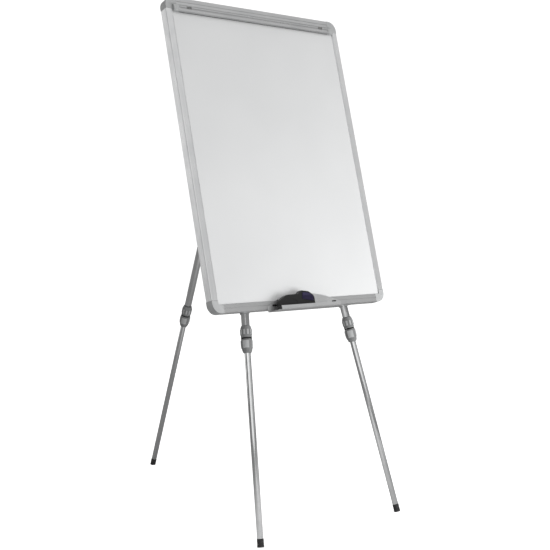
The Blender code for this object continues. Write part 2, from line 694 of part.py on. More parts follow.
def build_clip(board, rail_bottom, side, sign, spread):
    """Clip behind the bottom rail: its mouth faces inwards, so the leg swings in and out of it."""
    bore = UPPER_RADIUS + 0.0006
    outer = bore + CLIP_WALL
    arm_end = -0.007
    tab_end = 0.032
    front = -(FRONT_PIVOT_Y - FRAME_DEPTH - GAP)
    tab_back = front + CLIP_WALL + 0.0003
    outline = [(arm_end, front), (tab_end, front), (tab_end, tab_back), (0.0088, tab_back)]
    outline += arc((0, 0), outer, -56, 90, 10)
    outline += [(arm_end, outer), (arm_end, bore)]
    outline += arc((0, 0), bore, 90, -90, 12)
    outline += [(arm_end, -bore)]
    outline = [(sign * across, along) for across, along in outline]
    mesh = outline_mesh(f"leg_clip_{side}", [outline], CLIP_LENGTH)
    rise = 0.0067
    drop = PIVOT_RISE - BOARD_LIFT - rise
    centre = (sign * (FRONT_PIVOT_X + drop * math.tan(spread)), FRONT_PIVOT_Y, BOARD_LIFT + rise)
    clip = add_part(f"leg_clip_{side}", mesh, GREY_PLASTIC, board, centre, (0, -sign * spread, 0))
    screw_spot = (centre[0] + sign * 0.0245, FRONT_PIVOT_Y + tab_back + GAP, BOARD_LIFT + RAIL_TUBE / 2)
    profile = [(0, 0.0020), (0.0026, 0.0020), (0.0036, 0.0006), (0.0036, 0), (SCREW_RADIUS, 0)]
    profile += [(SCREW_RADIUS, -0.0110), (0, -0.0110)]
    turned_part(f"clip_screw_{side}", profile, STEEL, board, screw_spot, FACING_BACK, 12)
    for target in (clip, rail_bottom):
        label = f"{target.name}_clip_hole_{side}"
        hole = rod_mesh(label, SCREW_BORE, 0.018, (0, -0.0060, 0), ALONG_Y, 12)
        combine(target, hole, board, location=screw_spot)


# ---------------------------------------------------------------- telescopic legs

def knuckle_mesh(name):
    """The eye that a leg swings on; its pivot is along Y, at the leg's origin."""
    outline = arc((0, 0), UPPER_RADIUS, 0, 180, 10)
    outline += [(-UPPER_RADIUS, -0.0215), (UPPER_RADIUS, -0.0215)]
    return outline_mesh(name, [outline], KNUCKLE_THICKNESS, UPRIGHT)


def build_leg(leg, pivot, length, upper, floor_cut):
    """One leg hanging down its own -Z axis from a pivot empty; `upper` is from pivot to lock ring."""
    turn = (0, 0, math.radians(90)) if leg == "rear" else (0, 0, 0)
    eye = add_part(f"{leg}_knuckle", knuckle_mesh(f"{leg}_knuckle"), GREY_PLASTIC, pivot, rotation=turn)
    stem = rod_mesh("stem", UPPER_BORE - 0.0005, 0.030, (0, 0, -0.0355))
    combine(eye, stem, pivot, "UNION")
    combine(eye, rod_mesh("eye_bore", BOLT_BORE, 0.03, direction=ALONG_Y), pivot, rotation=turn)

    tube_top = -0.0215 - GAP
    collar_top = 0.0385
    seat = 0.0065
    tube_end = -upper + seat
    turned_part(f"{leg}_upper_tube", [
        (UPPER_RADIUS, tube_top),
        (UPPER_RADIUS, tube_end),
        (UPPER_BORE, tube_end),
        (UPPER_BORE, tube_top),
    ], CHROME, pivot)

    sleeve = UPPER_RADIUS + 0.0005
    turned_part(f"{leg}_collar", [
        (0.0140, collar_top),
        (0.0158, 0.0355),
        (COLLAR_RADIUS, 0.0290),
        (COLLAR_RADIUS, 0.0120),
        (0.0172, 0.0025),
        (SLIDE_BORE, 0.0025),
        (SLIDE_BORE, seat - GAP),
        (sleeve, seat - GAP),
        (sleeve, collar_top),
    ], GREY_PLASTIC, pivot, (0, 0, -upper))
    ring = 0.0025 - GAP
    turned_part(f"{leg}_lock_ring", [
        (0.0168, ring),
        (0.0168, -ring),
        (SLIDE_BORE, -ring),
        (SLIDE_BORE, ring),
    ], BLACK_PLASTIC, pivot, (0, 0, -upper))

    twist = add_empty(f"{leg}_twist_axis", pivot, (0, 0, -upper))
    turned_part(f"{leg}_twist_grip", [
        (0.0172, -0.0025),
        (COLLAR_RADIUS + 0.0005, -0.0080),
        (COLLAR_RADIUS + 0.0005, -0.0240),
        (0.0160, -0.0370),
        (0.0125, -0.0445),
        (SLIDE_BORE, -0.0445),
        (SLIDE_BORE, -0.0025),
    ], GREY_PLASTIC, twist)

    slide = add_empty(f"{leg}_slide_axis", pivot, (0, 0, -length))
    tilt = math.acos(abs((pivot_rotation(pivot) @ Vector((0, 0, 1))).z))
    sole = (FOOT_RADIUS * math.sin(tilt) - SOLE_CUT) / math.cos(tilt)
    tube_low = sole + 0.0045
    tube_high = length - upper + LOWER_INSIDE
    turned_part(f"{leg}_lower_tube", [
        (LOWER_RADIUS, tube_high),
        (LOWER_RADIUS, tube_low),
        (LOWER_BORE, tube_low),
        (LOWER_BORE, tube_high),
    ], CHROME, slide)
    turned_part(f"{leg}_guide_bush", [
        (0, 0.012),
        (0.0100, 0.012),
        (0.0109, 0.010),
        (0.0109, 0),
        (LOWER_BORE - 0.0005, 0),
        (LOWER_BORE - 0.0005, -0.020),
        (0, -0.020),
    ], NYLON, slide, (0, 0, tube_high + GAP))
    foot = turned_part(f"{leg}_foot", [
        (FOOT_RADIUS - 0.0004, sole + FOOT_HEIGHT),
        (FOOT_RADIUS, sole + FOOT_HEIGHT - 0.0010),
        (FOOT_RADIUS, sole),
        (0, sole),
        (0, tube_low - GAP),
        (LOWER_RADIUS + 0.0004, tube_low - GAP),
        (LOWER_RADIUS + 0.0004, sole + FOOT_HEIGHT),
    ], RUBBER, slide)
    level = foot.modifiers.new("level_sole", "BOOLEAN")
    level.operation = "DIFFERENCE"
    level.solver = "EXACT"
    level.object = floor_cut


def pivot_rotation(pivot):
    """World rotation of an empty, worked out from its own and its parents' angles."""
    rotation = Matrix.Identity(3)
    while pivot is not None:
        rotation = pivot.rotation_euler.to_matrix() @ rotation
        pivot = pivot.parent
    return rotation


def build_legs(board, root, rails):
    floor_cut = bpy.data.objects.new("floor_cut", box_mesh("floor_cut", (-1, -1, -0.1), (1, 2, 0)))
    CUTTERS.objects.link(floor_cut)
    floor_cut.parent = root
    floor_cut.hide_render = True
    floor_cut.display_type = "WIRE"

    foot_rise = FRONT_PIVOT_Y * math.tan(LEAN)
    drop = PIVOT_RISE - foot_rise
    spread = math.atan((FRONT_FOOT_X - FRONT_PIVOT_X) / drop)
    front_length = drop / math.cos(spread)
    for side, sign in (("left", -1), ("right", 1)):
        place = (sign * FRONT_PIVOT_X, FRONT_PIVOT_Y, PIVOT_RISE)
        pivot = add_empty(f"front_{side}_pivot", board, place, (0, -sign * spread, 0))
        build_leg(f"front_{side}", pivot, front_length, FRONT_UPPER, floor_cut)
        build_clip(board, rails["bottom"], side, sign, spread)

    pivot_y = PIVOT_RISE * math.sin(LEAN) + REAR_PIVOT_Y * math.cos(LEAN)
    pivot_z = PIVOT_RISE * math.cos(LEAN) - REAR_PIVOT_Y * math.sin(LEAN)
    opening = LEAN + math.atan((REAR_FOOT_REACH - pivot_y) / pivot_z)
    rear_length = math.hypot(REAR_FOOT_REACH - pivot_y, pivot_z)
    place = (0, REAR_PIVOT_Y, PIVOT_RISE)
    pivot = add_empty("rear_pivot", board, place, (opening, 0, 0))
    build_leg("rear", pivot, rear_length, REAR_UPPER, floor_cut)


# ---------------------------------------------------------------- whole easel

def centre_on_floor(root):
    """Slides the whole easel along Y so that its origin is under the middle of its box."""
    bpy.context.view_layer.update()
    graph = bpy.context.evaluated_depsgraph_get()
    low = math.inf
    high = -math.inf
    for part in PARTS.objects:
        if part.type == "EMPTY":
            continue
        seen = part.evaluated_get(graph)
        mesh = seen.to_mesh()
        for vertex in mesh.vertices:
            reach = (seen.matrix_world @ vertex.co).y
            low = min(low, reach)
            high = max(high, reach)
        seen.to_mesh_clear()
    root.location.y = -(low + high) / 2


def build_easel():
    root = add_empty("easel", None)
    board = add_empty("board_frame", root, rotation=(-LEAN, 0, 0))
    rails = build_rails(board)
    for side, x_sign in (("left", 1), ("right", -1)):
        build_corner(board, f"corner_bottom_{side}", x_sign, 1)
        build_corner(board, f"corner_top_{side}", x_sign, -1)
    panel = build_panel(board)
    build_clamp(board)
    build_tray(board, rails["bottom"])
    build_eraser(board)
    build_hub(board, panel)
    build_legs(board, root, rails)
    centre_on_floor(root)
    for part in PARTS.objects:
        if part.type == "MESH":
            part.data.shade_smooth()
            part.data.set_sharp_from_angle(angle=math.radians(35))


build_easel()
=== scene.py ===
"""Looks for the flipchart easel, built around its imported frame.

Pieces are laid out in the board's own frame (X across, Y into the board from the front of its rim, Z up the
slope from the floor line) or in a leg's frame (origin at its pivot, Y along the pivot, Z up the leg).
"""
import json
from math import atan2, cos, hypot, pi, radians, sin, sqrt, tan

import bmesh
import bpy
from mathutils import Matrix, Vector, noise


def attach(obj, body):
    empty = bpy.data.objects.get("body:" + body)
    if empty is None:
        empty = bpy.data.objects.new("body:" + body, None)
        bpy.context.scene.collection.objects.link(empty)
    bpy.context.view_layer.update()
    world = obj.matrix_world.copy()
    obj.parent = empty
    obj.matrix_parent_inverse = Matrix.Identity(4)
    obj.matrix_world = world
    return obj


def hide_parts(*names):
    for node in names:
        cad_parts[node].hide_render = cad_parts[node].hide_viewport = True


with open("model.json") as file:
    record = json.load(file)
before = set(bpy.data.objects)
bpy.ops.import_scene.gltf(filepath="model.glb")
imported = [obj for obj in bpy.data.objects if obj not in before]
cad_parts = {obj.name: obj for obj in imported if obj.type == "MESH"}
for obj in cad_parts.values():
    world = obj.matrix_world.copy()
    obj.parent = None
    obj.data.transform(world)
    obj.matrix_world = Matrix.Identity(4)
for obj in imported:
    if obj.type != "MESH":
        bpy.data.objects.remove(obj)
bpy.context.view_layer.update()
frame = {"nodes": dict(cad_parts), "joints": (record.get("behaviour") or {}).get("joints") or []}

# ---- where things are

shift = Matrix.Translation
JOINTS = {joint["name"]: joint for joint in frame["joints"]}
LEGS = ("front_left", "front_right", "rear")
SIDES = {"left": -1, "right": 1}
PIVOT_RISE = 1.640
REAR_PIVOT_Y = 0.056
BOARD_LIFT = 0.700
GAP = 0.0003


def axes_frame(across, into, up, origin):
    matrix = Matrix((across, into, up)).transposed().to_4x4()
    matrix.translation = origin
    return matrix


ACROSS = Vector((1.0, 0.0, 0.0))
UP = Vector(JOINTS["eraser_lift"]["axis"]).normalized()
INTO = UP.cross(ACROSS).normalized()
BOARD_ORIGIN = Vector(JOINTS["rear_fold"]["pos_m"]) - INTO * REAR_PIVOT_Y - UP * PIVOT_RISE
BOARD = axes_frame(ACROSS, INTO, UP, BOARD_ORIGIN)


def leg_frame(leg):
    swing = JOINTS["rear_fold" if leg == "rear" else f"{leg}_spread"]
    pivot_axis = ACROSS if leg == "rear" else INTO
    up = -Vector(JOINTS[f"{leg}_extend"]["axis"]).normalized()
    across = pivot_axis.cross(up).normalized()
    return axes_frame(across, up.cross(across), up, Vector(swing["pos_m"]))


def reach(node, matrix):
    """Lowest and highest corner of a CAD node in a frame of its own."""
    inverse = matrix.inverted()
    points = [inverse @ vertex.co for vertex in frame["nodes"][node].data.vertices]
    low = Vector([min(point[axis] for point in points) for axis in range(3)])
    high = Vector([max(point[axis] for point in points) for axis in range(3)])
    return low, high


def middle_of(node, matrix):
    low, high = reach(node, matrix)
    return (low + high) / 2


# ---- finishes

class Tree:
    """A node tree, with a short way to make each kind of node that the finishes and the sky need."""

    def __init__(self, owner):
        owner.use_nodes = True
        self.nodes = owner.node_tree.nodes
        self.links = owner.node_tree.links

    def feed(self, socket, value):
        if isinstance(value, bpy.types.NodeSocket):
            self.links.new(value, socket)
        else:
            socket.default_value = value

    def made(self, kind, output, inputs=None, **settings):
        """An output of a new node, with what goes into it and how it is set."""
        node = self.nodes.new(f"ShaderNode{kind}")
        for key, value in settings.items():
            setattr(node, key, value)
        for socket, value in (inputs or {}).items():
            self.feed(node.inputs[socket], value)
        return node.outputs[output]

    def levels(self, value, low, high, to_low=0.0, to_high=1.0, **settings):
        inputs = {"Value": value, "From Min": low, "From Max": high, "To Min": to_low, "To Max": to_high}
        return self.made("MapRange", "Result", inputs, **settings)

    def calc(self, operation, first, second):
        clamp = operation != "SUBTRACT"
        return self.made("Math", 0, {0: first, 1: second}, operation=operation, use_clamp=clamp)

    def dot(self, place, direction):
        """How far a place lies along a direction."""
        return self.made("VectorMath", "Value", {0: place, 1: direction}, operation="DOT_PRODUCT")

    def seen(self):
        """1 where the camera sees the surface or the sky itself, 0 in reflections and for light."""
        return self.made("LightPath", "Is Camera Ray")


class Finish(Tree):
    """A procedural material whose textures are laid out, in metres, in each piece's own frame."""

    def __init__(self, name, **sockets):
        self.material = bpy.data.materials.new(name)
        super().__init__(self.material)
        self.shader = self.nodes["Principled BSDF"]
        for socket, value in sockets.items():
            self.shader.inputs[socket.replace("_", " ")].default_value = value
        self.space = self.made("TexCoord", "Object")
        self.normal = None

    def noise(self, scale, detail=3.0, roughness=0.55, distortion=0.0, stretch=None, turn=(0, 0, 0)):
        space = self.space
        if stretch:
            space = self.made("Mapping", "Vector", {"Vector": space, "Scale": stretch, "Rotation": turn})
        inputs = {"Scale": scale, "Detail": detail, "Roughness": roughness, "Distortion": distortion}
        return self.made("TexNoise", 0, {"Vector": space, **inputs})

    def cells(self, scale, output="Distance"):
        return self.made("TexVoronoi", output, {"Vector": self.space, "Scale": scale})

    def mixed(self, factor, first, second):
        colours = [(*value, 1.0) if isinstance(value, tuple) else value for value in (first, second)]
        return self.made("Mix", 2, {0: factor, 6: colours[0], 7: colours[1]}, data_type="RGBA")

    def blend(self, value, low, high, first, second, most=1.0):
        """One colour that turns into another as a value rises, or only part of the way."""
        return self.mixed(self.levels(value, low, high, 0.0, most), first, second)

    def colour(self, value):
        self.links.new(value, self.shader.inputs["Base Color"])

    def rough(self, value):
        self.links.new(value, self.shader.inputs["Roughness"])

    def bump(self, height, distance, strength=1.0):
        under = {"Normal": self.normal} if self.normal else {}
        inputs = {"Height": height, "Distance": distance, "Strength": strength}
        self.normal = self.made("Bump", "Normal", {**inputs, **under})
        self.links.new(self.normal, self.shader.inputs["Normal"])


def grey(value, cool=0.0):
    return (value * (1 - cool), value, value * (1 + cool * 0.6))


def drawn_aluminium(name, along, tone, roughness, worn=False):
    """Anodised extrusion with fine die lines along one axis, and dull patches where hands have been."""
    finish = Finish(name, Metallic=0.85)

    def drawn(pull):
        return tuple(pull if axis == along else 1.0 for axis in "XYZ")

    lines = finish.noise(2600, 2.0, 0.6, stretch=drawn(0.006))
    streaks = finish.noise(220, 3.0, 0.6, stretch=drawn(0.02))
    patches = finish.noise(9, 5.0, 0.6, 0.4)
    specks = finish.levels(finish.noise(900, 4.0, 0.7), 0.66, 0.74)
    dull = finish.blend(patches, 0.35, 0.7, grey(tone * 1.03, 0.004), grey(tone * 0.92, 0.012))
    lined = finish.blend(streaks, 0.3, 0.75, dull, grey(tone * 0.86, 0.01), 0.5)
    # On worn edges the specks turn lighter: wear, and a painted edge highlight.
    speck = grey(tone * (1.25 if worn else 0.6))
    finish.colour(finish.mixed(finish.calc("MULTIPLY", specks, 0.35), lined, speck))
    lift = -0.09 if worn else 0.0
    base = finish.levels(streaks, 0.3, 0.7, roughness - 0.05 + lift, roughness + 0.06 + lift)
    finish.rough(finish.calc("ADD", base, finish.levels(patches, 0.45, 0.75, 0.0, 0.09)))
    finish.bump(lines, 0.000012, 0.8)
    finish.bump(finish.noise(38, 2.0), 0.00010, 0.25)
    return finish.material


def bright_tube(name, tone, roughness, slides=False):
    """Polished tube: drawing lines down its length, fingerprints, and rub marks where it slides."""
    finish = Finish(name, Metallic=1.0)
    lines = finish.noise(1500, 2.0, 0.6, stretch=(1.0, 1.0, 0.004))
    prints = finish.noise(34, 5.0, 0.65, 0.8)
    scratches = finish.noise(420, 4.0, 0.7, 0.6, stretch=(1.0, 1.0, 0.05), turn=(0.2, 0.1, 0))
    hairs = finish.levels(scratches, 0.63, 0.70)
    shade = finish.blend(prints, 0.4, 0.7, grey(tone, 0.006), grey(tone * 0.90, 0.014))
    finish.colour(finish.mixed(finish.calc("MULTIPLY", hairs, 0.2), shade, grey(tone * 0.70)))
    base = finish.levels(prints, 0.35, 0.75, roughness, roughness + 0.10)
    if slides:
        rubs = finish.noise(700, 2.0, 0.5, stretch=(0.05, 0.05, 1.0))
        base = finish.calc("ADD", base, finish.levels(rubs, 0.55, 0.75, 0.0, 0.10))
        finish.bump(rubs, 0.000008, 0.5)
    finish.rough(finish.calc("ADD", base, finish.calc("MULTIPLY", hairs, 0.06)))
    finish.bump(lines, 0.000005, 0.4)
    return finish.material


def moulded(name, tone, roughness, grain=1500, worn=False, tint=(1.0, 1.0, 1.0)):
    """Moulded plastic with a spark-eroded grain, faint flow marks and dust in the grain."""
    finish = Finish(name, Specular_IOR_Level=0.45)
    grains = finish.noise(grain, 4.0, 0.7)
    pits = finish.cells(grain * 0.62)
    flow = finish.noise(28, 4.0, 0.6, 1.4)

    def shade(factor):
        return tuple(min(1.0, tone * factor * part) for part in tint)

    flowing = finish.blend(flow, 0.32, 0.70, shade(0.92), shade(1.10))
    dusty = finish.blend(grains, 0.58, 0.80, flowing, shade(1.42), 0.45)
    if worn:
        # Worn edges are rubbed lighter: wear, and a painted edge highlight.
        rubbed = finish.noise(160, 4.0, 0.7)
        dusty = finish.blend(rubbed, 0.42, 0.62, dusty, shade(1.75 if tone < 0.1 else 1.35))
    finish.colour(dusty)
    drop = 0.12 if worn else 0.0
    base = finish.levels(flow, 0.3, 0.7, roughness - 0.06 - drop, roughness + 0.08 - drop)
    finish.rough(finish.calc("ADD", base, finish.levels(grains, 0.5, 0.8, 0.0, 0.10)))
    finish.bump(pits, 0.00006, 0.35)
    finish.bump(grains, 0.000048, 0.55)
    return finish.material


def whiteboard():
    """White lacquer on steel: a fine orange peel and the haze of much wiping."""
    finish = Finish(
        "board_lacquer", Specular_IOR_Level=0.62, Coat_Weight=0.7, Coat_Roughness=0.09, Coat_IOR=1.5)
    peel = finish.noise(360, 2.0, 0.5)
    wiped = finish.noise(7.0, 2.0, 0.5)
    haze = finish.noise(2.6, 2.0, 0.5)
    clean = (0.700, 0.705, 0.707)
    greyed = (0.625, 0.631, 0.635)
    finish.colour(finish.blend(haze, 0.1, 0.9, clean, greyed))
    finish.rough(finish.levels(wiped, 0.1, 0.9, 0.17, 0.255))
    finish.bump(peel, 0.000010, 0.4)
    return finish.material


def galvanised():
    """Zinc-coated backing sheet with its spangle and a few handling marks."""
    finish = Finish("zinc_sheet", Metallic=1.0)
    crystals = finish.made("RGBToBW", 0, {0: finish.cells(120, "Color")})
    stains = finish.noise(6, 5.0, 0.6, 0.6)
    flakes = finish.blend(crystals, 0.2, 0.8, grey(0.46, 0.01), grey(0.60, 0.02))
    finish.colour(finish.blend(stains, 0.5, 0.8, flakes, grey(0.42, 0.01), 0.6))
    rough = finish.levels(crystals, 0.2, 0.8, 0.36, 0.52)
    finish.rough(finish.calc("ADD", rough, finish.levels(stains, 0.5, 0.8, 0.0, 0.12)))
    finish.bump(finish.noise(240, 3.0), 0.00003, 0.5)
    return finish.material


def fibreboard():
    finish = Finish("core_fibre")
    fibres = finish.noise(420, 6.0, 0.7, 0.9, stretch=(1.0, 0.3, 1.0))
    finish.colour(finish.blend(fibres, 0.3, 0.7, (0.24, 0.16, 0.09), (0.42, 0.30, 0.19)))
    finish.rough(finish.levels(fibres, 0.3, 0.7, 0.78, 0.95))
    finish.bump(fibres, 0.0003, 0.6)
    return finish.material


def plated_steel():
    """Zinc-plated screws, pins and springs, with turning marks and a little dulling."""
    finish = Finish("plated_steel", Metallic=1.0)
    turning = finish.noise(2400, 2.0, 0.6, stretch=(0.2, 1.0, 0.2))
    dull = finish.noise(260, 4.0, 0.6, 0.5)
    finish.colour(finish.blend(dull, 0.35, 0.7, (0.60, 0.60, 0.59), (0.42, 0.42, 0.40)))
    finish.rough(finish.levels(dull, 0.3, 0.7, 0.22, 0.42))
    finish.bump(turning, 0.00001, 0.6)
    return finish.material


def soft_rubber():
    """Matt black rubber, scuffed grey where it meets the floor."""
    finish = Finish("black_rubber", Specular_IOR_Level=0.35)
    grain = finish.noise(1300, 4.0, 0.7)
    scuffs = finish.levels(finish.noise(120, 5.0, 0.75, 0.8), 0.54, 0.72)
    base = finish.blend(grain, 0.3, 0.75, (0.016, 0.016, 0.017), (0.040, 0.040, 0.041))
    finish.colour(finish.mixed(finish.calc("MULTIPLY", scuffs, 0.5), base, (0.13, 0.13, 0.125)))
    finish.rough(finish.levels(grain, 0.3, 0.7, 0.62, 0.84))
    finish.bump(grain, 0.00012, 0.6)
    return finish.material


def pressed_felt():
    finish = Finish("pressed_felt", Specular_IOR_Level=0.15, Sheen_Weight=0.5, Sheen_Roughness=0.5)
    fuzz = finish.noise(1900, 6.0, 0.8, 1.2)
    clumps = finish.noise(260, 4.0, 0.6)
    wool = finish.blend(fuzz, 0.3, 0.7, (0.045, 0.045, 0.050), (0.13, 0.13, 0.14))
    finish.colour(finish.blend(clumps, 0.55, 0.8, wool, (0.20, 0.20, 0.21), 0.5))
    finish.rough(finish.levels(clumps, 0.3, 0.7, 0.88, 1.0))
    finish.bump(fuzz, 0.0005, 0.8)
    return finish.material


def natural_nylon():
    finish = Finish("natural_nylon", Subsurface_Weight=0.15, Subsurface_Scale=0.002)
    flow = finish.noise(140, 4.0, 0.6, 0.8)
    finish.colour(finish.blend(flow, 0.3, 0.7, (0.70, 0.69, 0.63), (0.80, 0.79, 0.74)))
    finish.rough(finish.levels(flow, 0.3, 0.7, 0.38, 0.52))
    finish.bump(finish.noise(1500, 3.0), 0.00003, 0.5)
    return finish.material


def face_and_edge(make, name, *values, **more):
    """A finish for the faces and, for the softened edges, a worn one that is painted lighter as an edge
    highlight.
    """
    return [make(f"{name}_{end}", *values, worn=end == "edge", **more) for end in ("face", "edge")]


NAVY = (0.55, 0.42, 1.364)
COOL = (0.985, 1.0, 1.005)
# The rails are one anodised aluminium: the uprights are painted lighter, and the level rails and the clamp
# bar darker, as painted light and shade.
UPRIGHT_RAIL_PAINTED_LIGHT = face_and_edge(drawn_aluminium, "rail_upright", "Z", 0.80, 0.30)
LEVEL_RAIL_PAINTED_SHADE = face_and_edge(drawn_aluminium, "rail_level", "X", 0.58, 0.30)
TRAY_SILVER = face_and_edge(drawn_aluminium, "tray", "X", 0.66, 0.32)
UPPER_TUBE = [bright_tube("upper_tube_bright", 0.74, 0.13)]
LOWER_TUBE = [bright_tube("lower_tube_bright", 0.72, 0.12, slides=True)]
GREY_PLASTIC = face_and_edge(moulded, "grey_moulding", 0.27, 0.44, tint=COOL)
# On the collar and the grip the pads' outsides take the lighter finish; the recesses between the pads are
# painted darker, as painted shade.
COLLAR_PLASTIC_PAINTED_SHADE = [
    moulded("collar_recess_painted_shade", 0.20, 0.50, tint=COOL),
    moulded("collar_pad", 0.42, 0.38, tint=COOL),
]
CORNER_PLASTIC = face_and_edge(moulded, "corner_moulding", 0.42, 0.42, tint=COOL)
BLACK_PLASTIC = face_and_edge(moulded, "black_moulding", 0.009, 0.46, 1700)
NAVY_PLASTIC = face_and_edge(moulded, "navy_ribs", 0.038, 0.42, 1700, tint=NAVY)
LACQUER = [whiteboard()]
ZINC = [galvanised()]
FIBRE = [fibreboard()]
STEEL = [plated_steel()]
RUBBER = [soft_rubber()]
FELT = [pressed_felt()]
NYLON = [natural_nylon()]


# ---- shape makers

def fresh_mesh(name, points, faces):
    mesh = bpy.data.meshes.new(name)
    mesh.from_pydata(points, [], faces)
    return mesh


def linked(name, data):
    """A new object in the scene."""
    thing = bpy.data.objects.new(name, data)
    bpy.context.scene.collection.objects.link(thing)
    return thing


def mesh_from(guide):
    """The final mesh of a helper object, which is then removed."""
    made = bpy.data.meshes.new_from_object(guide.evaluated_get(bpy.context.evaluated_depsgraph_get()))
    bpy.data.objects.remove(guide)
    return made


def mesh_of(shape, mesh):
    """Writes a bmesh into a mesh and frees it."""
    shape.to_mesh(mesh)
    shape.free()
    return mesh


def welded(mesh, distance=1e-6):
    shape = bmesh.new()
    shape.from_mesh(mesh)
    bmesh.ops.remove_doubles(shape, verts=shape.verts, dist=distance)
    bmesh.ops.recalc_face_normals(shape, faces=shape.faces)
    return mesh_of(shape, mesh)


def evaluated(mesh, kind, **settings):
    """The mesh with one modifier applied."""
    guide = linked("guide", mesh)
    modifier = guide.modifiers.new(kind, kind)
    for key, value in settings.items():
        setattr(modifier, key, value)
    return mesh_from(guide)


def bevelled(mesh, width, segments=3, angle=40):
    """Softened edges; the rounded strips take the second finish, which is worn and painted lighter as an edge
    highlight.
    """
    return evaluated(
        mesh, "BEVEL", width=width, segments=segments, limit_method="ANGLE", angle_limit=radians(angle),
        material=1, use_clamp_overlap=True)


def combined(mesh, tools, operation="DIFFERENCE"):
    for tool in tools:
        helper = linked("helper", tool)
        mesh = evaluated(mesh, "BOOLEAN", operation=operation, solver="EXACT", object=helper)
        bpy.data.objects.remove(helper)
    return mesh


def box(low, high):
    low, high = Vector(low), Vector(high)
    shape = bmesh.new()
    place = shift((low + high) / 2) @ Matrix.Diagonal((*(high - low), 1.0))
    bmesh.ops.create_cube(shape, size=1.0, matrix=place)
    return mesh_of(shape, bpy.data.meshes.new("box"))


def rod(radius, length, centre=(0, 0, 0), direction=Matrix(), steps=48):
    shape = bmesh.new()
    place = shift(centre) @ direction
    bmesh.ops.create_cone(
        shape, cap_ends=True, segments=steps, radius1=radius, radius2=radius, depth=length, matrix=place)
    return mesh_of(shape, bpy.data.meshes.new("rod"))


def refined(node, matrix, width, segments, angle):
    """A CAD node's own shape in a frame of its own, its coplanar facets joined and its edges softened."""
    source = frame["nodes"][node].data
    inverse = matrix.inverted()
    points = [inverse @ vertex.co for vertex in source.vertices]
    mesh = fresh_mesh(node, points, [tuple(face.vertices) for face in source.polygons])
    shape = bmesh.new()
    shape.from_mesh(mesh)
    bmesh.ops.remove_doubles(shape, verts=shape.verts, dist=2e-6)
    bmesh.ops.dissolve_limit(shape, angle_limit=radians(0.6), verts=shape.verts, edges=shape.edges)
    return bevelled(mesh_of(shape, mesh), width, segments, angle)


def arc(centre, radius, start, end, steps):
    points = []
    for step in range(steps + 1):
        angle = radians(start + (end - start) * step / steps)
        points.append((centre[0] + radius * cos(angle), centre[1] + radius * sin(angle)))
    return points


SMALL_RADIUS = 0.0025


def rounded(corners, steps=6):
    """An outline from (across, along, radius) corners, each rounded by its own radius."""
    points = []
    count = len(corners)
    for index, (across, along, radius) in enumerate(corners):
        here = Vector((across, along))
        if radius == 0:
            points.append((across, along))
            continue
        before = (Vector(corners[index - 1][:2]) - here).normalized()
        after = (Vector(corners[(index + 1) % count][:2]) - here).normalized()
        half = before.angle(after) / 2
        centre = here + (before + after).normalized() * (radius / sin(half))
        first = here + before * (radius / tan(half)) - centre
        turn = first.angle_signed(here + after * (radius / tan(half)) - centre)
        parts = steps if radius > SMALL_RADIUS else 3
        for step in range(parts + 1):
            points.append(tuple(centre + Matrix.Rotation(-turn * step / parts, 2) @ first))
    return points


def slab(loops, thickness, turn=Matrix()):
    """A flat outline, with any holes as further loops, made `thickness` deep about its plane."""
    curve = bpy.data.curves.new("outline", "CURVE")
    curve.dimensions = "2D"
    curve.fill_mode = "BOTH"
    curve.extrude = thickness / 2
    for loop in loops:
        spline = curve.splines.new("POLY")
        spline.points.add(len(loop) - 1)
        spline.use_cyclic_u = True
        for point, (across, along) in zip(spline.points, loop):
            point.co = (across, along, 0.0, 1.0)
    mesh = mesh_from(linked("outline", curve))
    shape = bmesh.new()
    shape.from_mesh(mesh)
    bmesh.ops.remove_doubles(shape, verts=shape.verts, dist=1e-6)
    bmesh.ops.dissolve_limit(shape, angle_limit=radians(0.3), verts=shape.verts, edges=shape.edges)
    shape.transform(turn)
    bmesh.ops.recalc_face_normals(shape, faces=shape.faces)
    return mesh_of(shape, mesh)


def lathe(profile, angles, swell=None):
    """A closed (radius, height) loop turned about Z; swell(angle, radius, height) adds to the radius."""
    points = []
    for angle in angles:
        for radius, height in profile:
            out = radius + (swell(angle, radius, height) if swell else 0.0)
            points.append((out * cos(angle), out * sin(angle), height))
    count = len(profile)
    faces = []
    for turn in range(len(angles)):
        here = turn * count
        there = (turn + 1) % len(angles) * count
        for index in range(count):
            after = (index + 1) % count
            faces.append((here + index, here + after, there + after, there + index))
    return welded(fresh_mesh("turned", points, faces), 1e-7)


def even_angles(count):
    return [2 * pi * step / count for step in range(count)]


def smooth_line(knots, steps=4):
    """Points on a smooth line through (radius, height) knots."""
    points = []
    for index in range(len(knots) - 1):
        before = Vector(knots[max(index - 1, 0)])
        start = Vector(knots[index])
        end = Vector(knots[index + 1])
        after = Vector(knots[min(index + 2, len(knots) - 1)])
        for step in range(steps):
            t = step / steps
            square = 2 * before - 5 * start + 4 * end - after
            cube = 3 * start - before - 3 * end + after
            points.append(tuple(0.5 * ((2 * start) + (end - before) * t + square * t * t + cube * t ** 3)))
    points.append(tuple(knots[-1]))
    return points


UPRIGHT = Matrix.Rotation(radians(90), 4, "X")
ALONG_X = Matrix.Rotation(radians(90), 4, "Y")
ALONG_Y = Matrix.Rotation(radians(-90), 4, "X")
CROSSWISE = Matrix.Rotation(radians(-90), 4, "Y")


def moved(mesh, matrix):
    mesh.transform(matrix)
    if matrix.determinant() < 0:
        mesh.flip_normals()
    return mesh


def plate(outline, thickness, place):
    """A flat outline stood upright, across X and up Z, and moved to a place."""
    return moved(slab([outline], thickness, UPRIGHT), shift(place))


